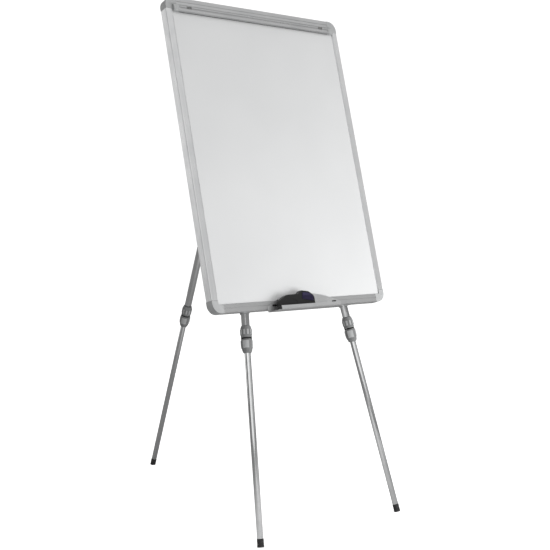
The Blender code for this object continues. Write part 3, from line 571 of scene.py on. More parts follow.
def show(name, mesh, matrix, body, slot, finish, *nodes, sharp=42):
    """A shown piece that rides on a body, takes the given finish and stands for CAD nodes; the slot is not
    used.
    """
    piece = linked(name, mesh)
    piece.matrix_world = matrix
    marks = [min(face.material_index, len(finish) - 1) for face in mesh.polygons]
    mesh.materials.clear()
    for material in finish:
        mesh.materials.append(material)
    mesh.polygons.foreach_set("material_index", marks)
    mesh.shade_smooth()
    mesh.set_sharp_from_angle(angle=radians(sharp))
    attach(piece, body)
    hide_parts(*nodes)
    if len(finish) > 1:
        even = piece.modifiers.new("even_normals", "WEIGHTED_NORMAL")
        even.keep_sharp = True


def show_softened(name, node, matrix, body, slot, finish, width, segments, angle):
    """A CAD node's own shape with softened edges, shown in its place."""
    show(name, refined(node, matrix, width, segments, angle), matrix, body, slot, finish, node)


def dress(node, finish):
    """A CAD node that shows as it is, in a better finish."""
    materials = frame["nodes"][node].data.materials
    for index in range(len(materials)):
        materials[index] = finish[0]


# ---- rim and panel

RAIL_TUBE = 0.012
RAIL_WALL = 0.0015
FRAME_DEPTH = 0.032
GROOVE_FRONT = 0.0026
GROOVE_BACK = 0.0150
REAR_LIP_BACK = 0.0180
SIDE_FACE = 0.022
END_FACE = 0.027
CORNER_ARM = 0.040
CORNER_RADIUS = 0.030
SCREW_HOLE = 0.0021


def outer_groove(depth, half=0.0007, sunk=0.0005):
    """A groove along the outside of a rail, at a depth behind its front."""
    return [(0, depth + half, 0.0001), (sunk, depth + half * 0.6, 0), (sunk, depth - half * 0.6, 0),
            (0, depth - half, 0.0001)]


def face_groove(middle, half, sunk):
    """A groove along the front of a rail."""
    return [(middle - half, 0, 0.0001), (middle - half * 0.7, sunk, 0), (middle + half * 0.7, sunk, 0),
            (middle + half, 0, 0.0001)]


def rail_outline(face, grooved):
    rim = [(0, 0, 0.0022)]
    if grooved:
        rim += face_groove(0.0141, 0.0010, 0.0010)
    rim += face_groove(face - 0.0021, 0.0007, 0.0009)
    rim += [
        (face, 0, 0.0010),
        (face, GROOVE_FRONT, 0.0004),
        (RAIL_TUBE, GROOVE_FRONT, 0),
        (RAIL_TUBE, GROOVE_BACK, 0),
        (face, GROOVE_BACK, 0.0004),
        (face, REAR_LIP_BACK, 0.0008),
        (RAIL_TUBE, REAR_LIP_BACK, 0.0006),
        (RAIL_TUBE, FRAME_DEPTH, 0.0010),
        (0, FRAME_DEPTH, 0.0020),
    ]
    rim += outer_groove(0.0225) + outer_groove(0.0095) + outer_groove(0.0038, 0.0008, 0.0011)
    inner = RAIL_TUBE - RAIL_WALL
    back = FRAME_DEPTH - RAIL_WALL
    hollow = [(RAIL_WALL, 0.0020), (inner, 0.0020), (inner, back), (RAIL_WALL, back)]
    return [rounded(rim), hollow]


def build_rails():
    for side, sign in SIDES.items():
        node = f"frame_rail_{side}"
        low, high = reach(node, BOARD)
        mesh = slab(rail_outline(SIDE_FACE, False), high.z - low.z)
        edge = low.x if side == "left" else high.x
        place = shift((edge, 0, (low.z + high.z) / 2)) @ Matrix.Diagonal((-sign, 1, 1, 1))
        show(f"{node}_extrusion", moved(mesh, place), BOARD, "board", "frame_aluminium", UPRIGHT_RAIL_PAINTED_LIGHT, node)
    for end, sign in (("bottom", 1), ("top", -1)):
        node = f"frame_rail_{end}"
        low, high = reach(node, BOARD)
        mesh = slab(rail_outline(END_FACE, True), high.x - low.x)
        edge = low.z if end == "bottom" else high.z
        mesh = moved(mesh, shift((0, 0, edge)) @ Matrix.Diagonal((1, 1, sign, 1)) @ CROSSWISE)
        if end == "bottom":
            mesh = combined(mesh, rail_holes())
        show(f"{node}_extrusion", mesh, BOARD, "board", "frame_aluminium", LEVEL_RAIL_PAINTED_SHADE, node)


def rail_holes():
    """The holes in the bottom rail: the tray's in its front, the leg clips' in its back."""
    holes = []
    for kind, start, length in (("tray", -0.003, 0.014), ("clip", FRAME_DEPTH, 0.024)):
        for side in SIDES:
            spot = middle_of(f"{kind}_screw_{side}", BOARD)
            spot.y = start
            holes.append(rod(SCREW_HOLE, length, spot, ALONG_Y, 24))
    return holes


def build_corners():
    proud = 0.0005
    arm = CORNER_ARM
    outline = rounded([
        (0, 0, CORNER_RADIUS),
        (arm, 0, 0.0006),
        (arm, END_FACE, 0.0006),
        (SIDE_FACE, END_FACE, 0.002),
        (SIDE_FACE, arm, 0.0006),
        (0, arm, 0.0006),
    ], steps=16)
    for x_side, x_sign in (("left", 1), ("right", -1)):
        for z_side, z_sign in (("bottom", 1), ("top", -1)):
            node = f"corner_{z_side}_{x_side}"
            low, high = reach(node, BOARD)
            mesh = slab([outline], FRAME_DEPTH + 2 * proud, UPRIGHT)
            middle = FRAME_DEPTH / 2
            inside = 0.060
            hollows = [box((RAIL_TUBE, start - middle, RAIL_TUBE), (inside, end, inside)) for start, end in
                       ((GROOVE_FRONT, GROOVE_BACK - middle), (REAR_LIP_BACK, FRAME_DEPTH))]
            mesh = bevelled(combined(mesh, hollows), 0.0012, 4, 60)
            edge_x = low.x if x_sign > 0 else high.x
            edge_z = low.z if z_sign > 0 else high.z
            place = shift((edge_x, middle, edge_z)) @ Matrix.Diagonal((x_sign, 1, z_sign, 1))
            show(f"{node}_moulding", moved(mesh, place), BOARD, "board", "grey_plastic", CORNER_PLASTIC, node)


def wavy_sheet(node, wander, seed, across=40, upwards=56):
    """A thin sheet whose front wanders by a fraction of a millimetre, as real sheet does."""
    low, high = reach(node, BOARD)
    points = []
    for layer in (0, 1):
        for row in range(upwards + 1):
            for column in range(across + 1):
                x = low.x + (high.x - low.x) * column / across
                z = low.z + (high.z - low.z) * row / upwards
                ripple = 0.5 + 0.5 * noise.noise(Vector((x * 4 + seed, z * 4, seed)))
                y = low.y + wander * ripple if layer == 0 else high.y
                points.append((x, y, z))
    width = across + 1
    layer_size = width * (upwards + 1)
    faces = []
    for row in range(upwards):
        for column in range(across):
            first = row * width + column
            front = (first, first + 1, first + 1 + width, first + width)
            faces.append(front)
            faces.append(tuple(index + layer_size for index in reversed(front)))
    rim = list(range(width))
    rim += [row * width + across for row in range(1, upwards + 1)]
    rim += [upwards * width + column for column in range(across - 1, -1, -1)]
    rim += [row * width for row in range(upwards - 1, 0, -1)]
    for index, here in enumerate(rim):
        after = rim[(index + 1) % len(rim)]
        faces.append((here, here + layer_size, after + layer_size, after))
    return welded(fresh_mesh(node, points, faces))


def build_panel():
    front = wavy_sheet("writing_surface", 0.00008, 3.1)
    show("writing_sheet", front, BOARD, "board", "whiteboard", LACQUER, "writing_surface")
    back = wavy_sheet("back_sheet", 0.00010, 8.4)
    for side in SIDES:
        spot = middle_of(f"hub_screw_{side}", BOARD)
        spot.y = GROOVE_BACK
        back = combined(back, [rod(SCREW_HOLE, 0.02, spot, ALONG_Y, 24)])
    show("backing_sheet", back, BOARD, "board", "back", ZINC, "back_sheet")
    dress("core_panel", FIBRE)


# ---- paper clamp

BARREL_RADIUS = 0.0052
CLAMP_BORE = 0.0021
POCKET_HALF = 0.009
POCKET_DEPTH = 0.008
POCKET_FLOOR = -0.0046


def clamp_section():
    """Section of the clamp bar about its hinge: across is forward, along is up."""
    nose = arc((0, 0), BARREL_RADIUS, -40, 215, 40)
    plate = rounded([
        (-0.0029, -0.0060, 0.0003),
        (-0.0029, -0.0148, 0.0008),
        (-0.0018, -0.0160, 0.0006),
        (0.0030, -0.0160, 0.0010),
        (0.0046, -0.0145, 0.0010),
        (0.0046, -0.0100, 0.0004),
        (0.0038, -0.0092, 0.0004),
        (0.0038, -0.0060, 0.0006),
    ], 5)
    return nose + plate


def build_clamp():
    hinge = BOARD.copy()
    hinge.translation = Vector(JOINTS["clamp_open"]["pos_m"])
    low, high = reach("clamp_bar", hinge)
    face_on = Matrix.Diagonal((1, -1, 1, 1)) @ Matrix.Rotation(radians(90), 4, "Z") @ UPRIGHT
    bar = moved(slab([clamp_section()], high.x - low.x), face_on)
    past_ends = 0.7
    tools = [rod(CLAMP_BORE, past_ends, (0, 0, 0), ALONG_X, 32)]
    for side, sign in SIDES.items():
        middle = middle_of(f"clamp_spring_{side}", hinge).x
        start, end = middle - POCKET_HALF, middle + POCKET_HALF
        tools.append(box((start, -POCKET_DEPTH, POCKET_FLOOR), (end, POCKET_DEPTH, POCKET_DEPTH)))
    bar = bevelled(combined(bar, tools), 0.00025, 2, 60)
    # The clamp bar takes the level rails' darker tone, which is painted shade.
    show("clamp_bar_extrusion", bar, hinge, "clamp", "frame_aluminium", LEVEL_RAIL_PAINTED_SHADE, "clamp_bar")
    show_softened("clamp_pad_strip", "clamp_pad", hinge, "clamp", "rubber", RUBBER, 0.0004, 2, 60)
    for side, sign in SIDES.items():
        block = f"clamp_block_{side}"
        show_softened(
            f"{block}_moulding", block, hinge, "board", "grey_plastic", CORNER_PLASTIC, 0.0007, 4, 50)
        build_spring(f"clamp_spring_{side}", hinge, sign)
    low, high = reach("clamp_rod", hinge)
    tip = 0.0004
    radius = high.z
    profile = [(0, high.x), (radius - tip, high.x), (radius, high.x - tip), (radius, low.x + tip),
               (radius - tip, low.x), (0, low.x)]
    rod_mesh = lathe(profile, even_angles(32))
    show("clamp_hinge_rod", moved(rod_mesh, ALONG_X), hinge, "board", "steel", STEEL, "clamp_rod")


def build_spring(node, hinge, sign):
    """A torsion spring: a round wire coil on the rod, with one leg up against the rail."""
    wire = 0.00045
    radius = 0.0027
    turns = 4
    pitch = 0.0022
    per_turn = 28
    start = -sign * turns * pitch / 2 + middle_of(node, hinge).x
    route = []
    for step in range(turns * per_turn + 1):
        angle = 2 * pi * step / per_turn
        route.append((start + sign * pitch * step / per_turn, cos(angle) * radius, sin(angle) * radius))
    end = route[-1]
    route += [(end[0], end[1], end[2] + rise) for rise in (0.0015, 0.0040, 0.0075, 0.0110)]
    curve = bpy.data.curves.new(node, "CURVE")
    curve.dimensions = "3D"
    curve.bevel_depth = wire
    curve.bevel_resolution = 3
    curve.use_fill_caps = True
    spline = curve.splines.new("POLY")
    spline.points.add(len(route) - 1)
    for point, place in zip(spline.points, route):
        point.co = (*place, 1.0)
    coil = welded(mesh_from(linked("coil", curve)))
    show(f"{node}_coil", coil, hinge, "board", "steel", STEEL, node)


# ---- pen tray and eraser

TRAY_HALF_WIDTH = 0.150
TRAY_LIP_LEFT = 0.1315
TRAY_LIP_RIGHT = 0.108
TRAY_ARCH_FOOT = 0.010
TRAY_RISE = 0.043
TRAY_DROP = 0.009
TRAY_REACH = 0.048
TRAY_SHEET = 0.0015
TRAY_BACK = -0.0004
TRAY_BEND = 0.0022
CAP_WIDTH = 0.0085
LIP_RISE = 0.013
SLOT_X = 0.122
SLOT_RISE = 0.0120
SLOT_HALF_LENGTH = 0.009
SLOT_HALF_HEIGHT = 0.003


def tray_rows():
    """Rows of the tray's middle surface: each has its two ends, and a function that gives Y and Z at an X."""
    rise = TRAY_RISE - TRAY_ARCH_FOOT
    arch = (TRAY_HALF_WIDTH ** 2 + rise ** 2) / (2 * rise)
    back = TRAY_BACK - TRAY_SHEET / 2
    floor = -TRAY_DROP + TRAY_SHEET / 2
    front = TRAY_BACK - TRAY_REACH + TRAY_SHEET / 2
    bend = TRAY_BEND
    ends = (-TRAY_HALF_WIDTH, TRAY_HALF_WIDTH)
    front_left = -TRAY_LIP_LEFT - CAP_WIDTH - GAP
    rows = []

    def back_plate(share):
        def spot(x):
            top = TRAY_RISE - arch + sqrt(arch ** 2 - min(abs(x), TRAY_HALF_WIDTH) ** 2)
            return back, top + (floor + bend - top) * share
        return ends, spot

    for step in range(9):
        rows.append(back_plate(step / 8))
    for y, z in arc((back - bend, floor + bend), bend, 0, -90, 5)[1:]:
        rows.append((ends, lambda x, y=y, z=z: (y, z)))
    taper_start = TRAY_BACK - 0.006
    for step in range(1, 13):
        y = back - bend + (front + bend - (back - bend)) * step / 12
        share = max(0.0, (taper_start - y) / (taper_start - front))
        left = ends[0] + (front_left - ends[0]) * share
        right = ends[1] + (TRAY_LIP_RIGHT - ends[1]) * share
        rows.append(((left, right), lambda x, y=y: (y, floor)))
    return rows


def tray_lip():
    """The lip, bent up from the floor's front edge and rounded off at its right end."""
    inner = TRAY_SHEET
    outer_bend = TRAY_BEND + TRAY_SHEET
    front = TRAY_BACK - TRAY_REACH
    section = arc((front + outer_bend, -TRAY_DROP + outer_bend), outer_bend, 270, 180, 6)
    section += arc((front + inner / 2, -TRAY_DROP + LIP_RISE - inner / 2), inner / 2, 180, 0, 6)
    section += arc((front + outer_bend, -TRAY_DROP + outer_bend), outer_bend - inner, 180, 270, 6)
    section += [(front + outer_bend + 0.0012, -TRAY_DROP + inner), (front + outer_bend + 0.0012, -TRAY_DROP)]
    mesh = slab([section], TRAY_LIP_LEFT + TRAY_LIP_RIGHT)
    place = shift(((TRAY_LIP_RIGHT - TRAY_LIP_LEFT) / 2, 0, BOARD_LIFT))
    mesh = moved(mesh, place @ Matrix(((0, 0, 1, 0), (1, 0, 0, 0), (0, 1, 0, 0), (0, 0, 0, 1))))
    turn = 0.006
    arch = arc((TRAY_LIP_RIGHT - turn, LIP_RISE - TRAY_DROP - turn), turn, 0, 90, 10)
    wedge = [*arch, (TRAY_LIP_RIGHT - turn, 0.02), (TRAY_LIP_RIGHT + 0.01, 0.02),
             (TRAY_LIP_RIGHT + 0.01, LIP_RISE - TRAY_DROP - turn)]
    return combined(mesh, [plate(wedge, 0.01, (0, front, BOARD_LIFT))])


def build_tray():
    columns = 96
    points = []
    rows = tray_rows()
    for (left, right), spot in rows:
        for column in range(columns + 1):
            share = sin((column / columns - 0.5) * pi)
            x = (left + right) / 2 + (right - left) / 2 * share
            y, z = spot(x)
            points.append((x, y, z + BOARD_LIFT))
    width = columns + 1
    faces = []
    for row in range(len(rows) - 1):
        for column in range(columns):
            first = row * width + column
            faces.append((first, first + 1, first + 1 + width, first + width))
    sheet = welded(fresh_mesh("pen_tray", points, faces), 1e-7)
    sheet = evaluated(sheet, "SOLIDIFY", thickness=TRAY_SHEET, offset=0.0, use_even_offset=True)
    sheet = combined(sheet, [tray_lip()], "UNION")
    slots = [slot_shape(sign, inset=0.0, depth=0.006, place=TRAY_BACK) for sign in SIDES.values()]
    sheet = bevelled(combined(sheet, slots), 0.0003, 2, 60)
    show("pen_tray_sheet", sheet, BOARD, "board", "tray_sheet", TRAY_SILVER, "pen_tray")
    show_softened(
        "tray_end_cap_block", "tray_end_cap", BOARD, "board", "black_plastic", BLACK_PLASTIC, 0.0004, 2, 40)
    for side, sign in SIDES.items():
        build_screw(f"tray_screw_{side}", BLACK_PLASTIC[:1], "black_plastic", forward=True)
        hole = rod(SHANK + 0.0001, 0.01, (sign * SLOT_X, 0, BOARD_LIFT + SLOT_RISE), ALONG_Y, 24)
        # Each slot is filled with black plastic with a hole for the screw: painted shade where the rail
        # behind would show in shadow.
        slot_shade = slot_shape(sign, inset=0.0002, depth=0.0008, place=TRAY_BACK - 0.0006)
        slot_shade = combined(slot_shade, [hole])
        show(f"tray_slot_lining_{side}", slot_shade, BOARD, "board", "black_plastic", BLACK_PLASTIC[:1])


def slot_shape(sign, inset, depth, place):
    """The long hole at one end of the tray's back plate, or a black fill that fits in it as painted shade."""
    across = SLOT_HALF_LENGTH - inset
    along = SLOT_HALF_HEIGHT - inset
    corners = [(sign * SLOT_X + dx * across, SLOT_RISE + dz * along, along - 0.0001)
               for dx, dz in ((-1, -1), (1, -1), (1, 1), (-1, 1))]
    return plate(rounded(corners, 6), depth, (0, place, BOARD_LIFT))


SHANK = 0.0016
THREAD = 0.0008
CROSS_TURN = 0.35


def dome(start, rim, top, depth):
    """Points over a screw's rounded head, from near its middle out to its rim."""
    return [(start + (rim - start) * sin(radians(angle)), top - depth * (1 - cos(radians(angle))))
            for angle in (20, 40, 60, 75, 90)]


def build_screw(node, finish, slot, forward=False):
    """A pan-head screw with a cross recess, lying along the board's Y."""
    low, high = reach(node, BOARD)
    centre = (low + high) / 2
    head = (high.x - low.x) / 2
    facing = -1 if forward else 1
    tip, outer = (high.y, low.y) if forward else (low.y, high.y)
    thick = 0.0015 if forward else 0.0020
    length = abs(outer - tip)
    profile = [(0.0, 0.0), *dome(0.0, head, 0.0, thick * 0.75), (head, -thick * 0.98), (SHANK, -thick)]
    for turn in range(int((length - thick) / THREAD)):
        top = -thick - 0.0003 - turn * THREAD
        profile += [(SHANK - 0.00005, top), (SHANK - 0.0004, top - THREAD / 2)]
    profile += [(SHANK * 0.6, -length + 0.0003), (0.0, -length)]
    mesh = lathe(profile, even_angles(40))
    arm, width, depth = head * 0.55, head * 0.13, thick * 0.7
    cross = [box((-x, -y, -depth), (x, y, 0.002)) for x, y in ((arm, width), (width, arm))]
    mesh = combined(mesh, cross)
    turn = Matrix.Rotation(radians(-90 * facing), 4, "X") @ Matrix.Rotation(CROSS_TURN, 4, "Z")
    place = shift((centre.x, outer, centre.z)) @ turn
    show(f"{node}_driven", mesh, BOARD @ place, "board", slot, finish, node, sharp=35)


def build_eraser():
    spot = BOARD.copy()
    low, high = reach("eraser_body", BOARD)
    spot.translation = BOARD @ Vector(((low.x + high.x) / 2, high.y, low.z))
    half = (high.x - low.x) / 2
    thick = high.y - low.y
    outline = rounded([
        (-half, 0, 0.006),
        (half, 0, 0.008),
        (half, 0.038, 0.016),
        (0.050, 0.0530, 0.014),
        (0.018, 0.0575, 0.010),
        (0.008, 0.0465, 0.008),
        (-0.040, 0.0460, 0.030),
        (-half, 0.030, 0.014),
    ], 10)
    seat = rounded([(0.018, 0.030, 0.004), (0.062, 0.021, 0.004), (0.0655, 0.0355, 0.008),
                    (0.048, 0.0475, 0.010), (0.022, 0.0515, 0.006)], 8)
    body = bevelled(plate(outline, thick, (0, -thick / 2, 0)), 0.0030, 5, 60)
    oval = [(x * 0.80 - 0.028, z * 0.42 + 0.013) for x, z in arc((0, 0.012), 0.034, 0, 360, 40)[:-1]]
    hollows = [plate(seat, 0.006, (0, -thick, 0)), plate(oval, 0.0016, (0, -thick, 0))]
    body = bevelled(combined(body, hollows), 0.0003, 2, 60)
    show("eraser_holder", body, spot, "eraser", "black_plastic", BLACK_PLASTIC, "eraser_body")

    middle = Vector((0.0430, 0.0370))
    shrink = Vector((0.985, 0.960))
    plug = [tuple(middle + Vector((x - middle.x, z - middle.y)) * shrink) for x, z in seat]
    grip_low, grip_high = reach("eraser_grip", spot)
    grip = plate(plug, grip_high.y - grip_low.y, (0, (grip_low.y + grip_high.y) / 2, 0))
    grooves, groove = 13, 0.0016
    first, last, top = 0.0205, 0.0625, 0.0405
    tools = []
    for index in range(grooves):
        x = first + (last - first) * index / (grooves - 1)
        tools.append(box((x, grip_low.y - 0.001, 0.0), (x + groove, grip_low.y + groove, top)))
    grip = bevelled(combined(grip, tools), 0.00035, 2, 50)
    show("eraser_ribbed_grip", grip, spot, "eraser", "navy_plastic", NAVY_PLASTIC, "eraser_grip")
    show_softened("eraser_felt_pad", "eraser_felt", spot, "eraser", "felt", FELT, 0.0003, 2, 70)


# ---- hub and clips

PIVOT_SHANK = 0.0039


def build_hub():
    hub = BOARD.copy()
    hub.translation = BOARD @ Vector((0, 0, PIVOT_RISE))
    low, high = reach("leg_hub", hub)
    half_rib, front, back = 0.001, 0.0385, 0.0560
    ribs = [box((x - half_rib, front, low.z + 0.0012), (x + half_rib, back, high.z - 0.0055))
            for x in (-0.064, -0.030, 0.030, 0.064)]
    mesh = combined(refined("leg_hub", hub, 0.0007, 3, 50), ribs, "UNION")
    show("leg_hub_moulding", mesh, hub, "board", "grey_plastic", GREY_PLASTIC, "leg_hub")
    for side in SIDES:
        build_screw(f"hub_screw_{side}", STEEL, "steel")
        build_bolt(f"pivot_bolt_{side}")
        clip = f"leg_clip_{side}"
        show_softened(f"{clip}_moulding", clip, BOARD, "board", "grey_plastic", GREY_PLASTIC, 0.0006, 3, 50)
        build_screw(f"clip_screw_{side}", STEEL, "steel")
    build_pin()


def build_bolt(node):
    """A dome-head bolt with a hexagonal socket, facing the back."""
    low, high = reach(node, BOARD)
    centre = (low + high) / 2
    head = (high.x - low.x) / 2
    length = high.y - low.y
    thick, crown, tip = 0.0036, 0.0040, 0.0006
    profile = [(0.0, 0.0), (crown, -0.0001), *dome(crown, head, -0.0001, 0.0026)]
    profile += [(head, -thick), (PIVOT_SHANK, -thick), (PIVOT_SHANK, -length + tip)]
    profile += [(PIVOT_SHANK - tip, -length), (0.0, -length)]
    socket, socket_depth = 0.0030, 0.0022
    hexagon = [(socket * cos(angle), socket * sin(angle)) for angle in even_angles(6)]
    mesh = combined(lathe(profile, even_angles(64)), [slab([hexagon], socket_depth * 2)])
    place = shift((centre.x, high.y, centre.z)) @ ALONG_Y
    show(f"{node}_domed", mesh, BOARD @ place, "board", "steel", STEEL, node, sharp=35)


def build_pin():
    low, high = reach("rear_pivot_pin", BOARD)
    half = (high.x - low.x) / 2
    head, thick, soft = 0.0060, 0.0024, 0.0008
    side = [(0.0, half), (head - soft, half), (head - soft * 0.3, half - soft * 0.3), (head, half - soft),
            (head, half - thick), (PIVOT_SHANK, half - thick)]
    profile = side + [(radius, -height) for radius, height in reversed(side)]
    dimple, deep = 0.0018, 0.0008
    dimples = [rod(dimple, deep * 2, (0, 0, sign * half)) for sign in SIDES.values()]
    mesh = combined(lathe(profile, even_angles(56)), dimples)
    place = BOARD @ shift((low + high) / 2) @ ALONG_X
    show("rear_pivot_riveted_pin", mesh, place, "board", "steel", STEEL, "rear_pivot_pin", sharp=35)


# ---- legs

PAD_RISE = 0.0014
PAD_SLOPE = 0.0008
SLIDE_BORE = 0.0101


def pad_angles(pads, half, edge, fill=3, offset=0.0):
    """Angles for a lathe that has upright pads: close together at each pad's sides."""
    pitch = 2 * pi / pads
    offsets = [-half - edge, -half, -half / 2, 0.0, half / 2, half, half + edge]
    gap = pitch - 2 * (half + edge)
    offsets += [half + edge + gap * step / (fill + 1) for step in range(1, fill + 1)]
    return [pad * pitch + angle + offset for pad in range(pads) for angle in offsets]


def ramp_up(value, start, end):
    return min(1.0, max(0.0, (value - start) / (end - start)))


def pad_swell(pads, half, edge, low, high, least, offset=0.0):
    """How far upright pads stand out of a turned part, between two heights and outside a radius."""
    pitch = 2 * pi / pads

    def swell(angle, radius, height):
        if radius < least:
            return 0.0
        off = abs((angle - offset + pitch / 2) % pitch - pitch / 2)
        sides = 1.0 - ramp_up(off, half, half + edge)
        ends = min(ramp_up(height, low, low + PAD_SLOPE), 1.0 - ramp_up(height, high - PAD_SLOPE, high))
        return PAD_RISE * min(sides, ends)

    return swell


def with_heights(line, heights):
    """A profile line, from the top down, with further points at given heights."""
    points = list(line)
    for height in heights:
        for index in range(len(points) - 1):
            (r0, z0), (r1, z1) = points[index], points[index + 1]
            if z0 > height + 1e-7 and z1 < height - 1e-7:
                points.insert(index + 1, (r0 + (r1 - r0) * (z0 - height) / (z0 - z1), height))
                break
    return points


def padded(line, inner, pads, half, edge, low, high, least, fill=3, offset=0.0):
    """A turned part with upright pads, whose outsides take the second finish."""
    outer = with_heights(smooth_line(line), (high, high - PAD_SLOPE, low + PAD_SLOPE, low))
    swell = pad_swell(pads, half, edge, low, high, least, offset)
    mesh = lathe(outer + inner, pad_angles(pads, half, edge, fill, offset), swell)
    for face in mesh.polygons:
        out = hypot(face.center.x, face.center.y)
        angle = atan2(face.center.y, face.center.x)
        if swell(angle, out, face.center.z) > PAD_RISE * 0.75:
            face.material_index = 1
    return mesh


def build_collar(leg, ring):
    top, bottom = 0.0385, 0.0025
    sleeve, seat = 0.0130, 0.0062
    line = [(0.0136, top), (0.0146, 0.0375), (0.0154, 0.0352), (0.0164, 0.0322), (0.0171, 0.0295),
            (0.0171, 0.0200), (0.0171, 0.0110), (0.0171, 0.0070), (0.0170, 0.0036), (0.0165, bottom)]
    inner = [(SLIDE_BORE, bottom), (SLIDE_BORE, seat), (sleeve, seat), (sleeve, top - GAP)]
    mesh = padded(
        line, inner, pads=10, half=radians(9), edge=radians(1.6), low=0.0100, high=0.0275, least=0.0165)
    show(f"{leg}_collar_moulding", mesh, ring, f"{leg}_leg", "grey_plastic", COLLAR_PLASTIC_PAINTED_SHADE, f"{leg}_collar",
         sharp=50)


def build_lock_ring(leg, ring):
    low, high = reach(f"{leg}_lock_ring", ring)
    half = (high.z - low.z) / 2
    tooth, soft, teeth = 0.0004, 0.0006, 48
    radius = high.x - tooth
    profile = [(radius - soft, half), (radius, half - soft), (radius, -half + soft), (radius - soft, -half),
               (SLIDE_BORE, -half), (SLIDE_BORE, half)]

    def swell(angle, out, height):
        on_teeth = out > SLIDE_BORE + soft and abs(height) < half - soft / 2
        return tooth / 2 * (1 + cos(angle * teeth)) if on_teeth else 0.0

    mesh = lathe(profile, even_angles(teeth * 6), swell)
    show(f"{leg}_lock_ring_toothed", mesh, ring, f"{leg}_leg", "black_plastic", BLACK_PLASTIC[:1],
         f"{leg}_lock_ring", sharp=50)


def build_twist_grip(leg, ring):
    top, bottom = -0.0025, -0.0445
    line = [(0.0165, top), (0.0170, -0.0034), (0.0175, -0.0060), (0.0176, -0.0120), (0.0176, -0.0210),
            (0.0171, -0.0275), (0.0162, -0.0335), (0.0148, -0.0390), (0.0131, -0.0430), (0.0122, bottom)]
    inner = [(SLIDE_BORE, bottom), (SLIDE_BORE, top)]
    mesh = padded(
        line, inner, pads=4, half=radians(30), edge=radians(1.8), low=-0.0310, high=-0.0065, least=0.0160,
        fill=5, offset=radians(45))
    show(f"{leg}_twist_grip_moulding", mesh, ring, f"{leg}_grip", "grey_plastic", COLLAR_PLASTIC_PAINTED_SHADE,
         f"{leg}_twist_grip", sharp=50)


def build_tube(node, place, body, bore, finish):
    low, high = reach(node, place)
    radius, soft = high.x, 0.0004
    inner = soft / 2
    profile = [(bore + inner, high.z), (radius - soft, high.z), (radius, high.z - soft)]
    profile += [(radius, low.z + soft), (radius - soft, low.z), (bore + inner, low.z)]
    profile += [(bore, low.z + inner), (bore, high.z - inner)]
    mesh = lathe(profile, even_angles(72))
    show(f"{node}_drawn", mesh, place, body, "leg_tube", finish, node, sharp=60)


def build_foot(leg, place):
    """A rubber cap with three ribs, cut level with the floor."""
    top = reach(f"{leg}_foot", place)[1].z
    radius, bore = 0.0105, 0.0099
    sole = top - 0.024

    def stepped(start, steps):
        return [(radius - inward, start - down) for inward, down in steps]

    outer = stepped(top, ((0.0005, 0), (0.0001, 0.0006), (0, 0.0022), (0.0005, 0.0026), (0.0005, 0.0040),
                          (0.0002, 0.0046)))
    for rib in range(3):
        start = top - 0.0080 - rib * 0.0038
        outer += stepped(start, ((0.0002, 0), (0.0007, 0.0005), (0.0007, 0.0013), (0.0002, 0.0018)))
    plug = sole + 0.0042
    outer += [(radius, sole + 0.0012), (radius - 0.0002, sole)]
    profile = outer + [(0.0, sole), (0.0, plug), (bore, plug), (bore, top)]
    shape = bmesh.new()
    shape.from_mesh(lathe(profile, even_angles(64)))
    inverse = place.inverted()
    cut = bmesh.ops.bisect_plane(
        shape, geom=shape.verts[:] + shape.edges[:] + shape.faces[:], dist=1e-7, clear_inner=True,
        plane_co=inverse @ Vector((0, 0, 0)), plane_no=inverse.to_3x3() @ Vector((0, 0, 1)))
    edges = [item for item in cut["geom_cut"] if isinstance(item, bmesh.types.BMEdge)]
    bmesh.ops.holes_fill(shape, edges=edges, sides=0)
    bmesh.ops.recalc_face_normals(shape, faces=shape.faces)
    mesh = mesh_of(shape, bpy.data.meshes.new("foot"))
    show(f"{leg}_foot_cap", mesh, place, f"{leg}_lower", "rubber", RUBBER, f"{leg}_foot", sharp=45)


def build_leg(leg):
    place = leg_frame(leg)
    ring = place @ shift((0, 0, (place.inverted() @ Vector(JOINTS[f"{leg}_twist"]["pos_m"])).z))
    knuckle = f"{leg}_knuckle"
    show_softened(
        f"{knuckle}_moulding", knuckle, place, f"{leg}_leg", "grey_plastic", GREY_PLASTIC, 0.0009, 3, 50)
    build_tube(f"{leg}_upper_tube", place, f"{leg}_leg", 0.0113, UPPER_TUBE)
    build_collar(leg, ring)
    build_lock_ring(leg, ring)
    build_twist_grip(leg, ring)
    build_tube(f"{leg}_lower_tube", place, f"{leg}_lower", 0.0085, LOWER_TUBE)
    dress(f"{leg}_guide_bush", NYLON)
    build_foot(leg, place)


build_rails()
build_corners()
build_panel()
build_clamp()
build_tray()
build_eraser()
build_hub()
for leg_name in LEGS:
    build_leg(leg_name)


# ---- studio

CAMERA_AT = (-1.9655, -2.7615, 0.9300)
CAMERA_AZIMUTH = -38.13
CAMERA_PITCH = 2.80
CAMERA_ROLL = -0.575
CAMERA_LENS = 63.8

WHITE = (1.0, 1.0, 1.0)
SURROUND = 0.11
OVERHEAD = 0.70
BACKDROP = 1.1
GLOWS = (
    ((-0.56, -0.78, 0.22), 0.62, 0.93, 1.0),
    ((-0.62, 0.78, 0.05), 0.88, 0.98, 0.85),
    ((0.62, -0.65, 0.35), 0.75, 0.98, 0.46),
)
LANE_RIGHT = (0.81, -0.58, 0.0)
LANE_AHEAD = (-0.58, -0.81, 0.0)
LANE_MIDDLE = 0.22
LANE_EDGE = (0.12, 0.66)
LANE_START = (-0.3, 0.7)
LANE_GROUND = (0.40, 0.40, 0.40)
FLOOR_GLOW = 0.72


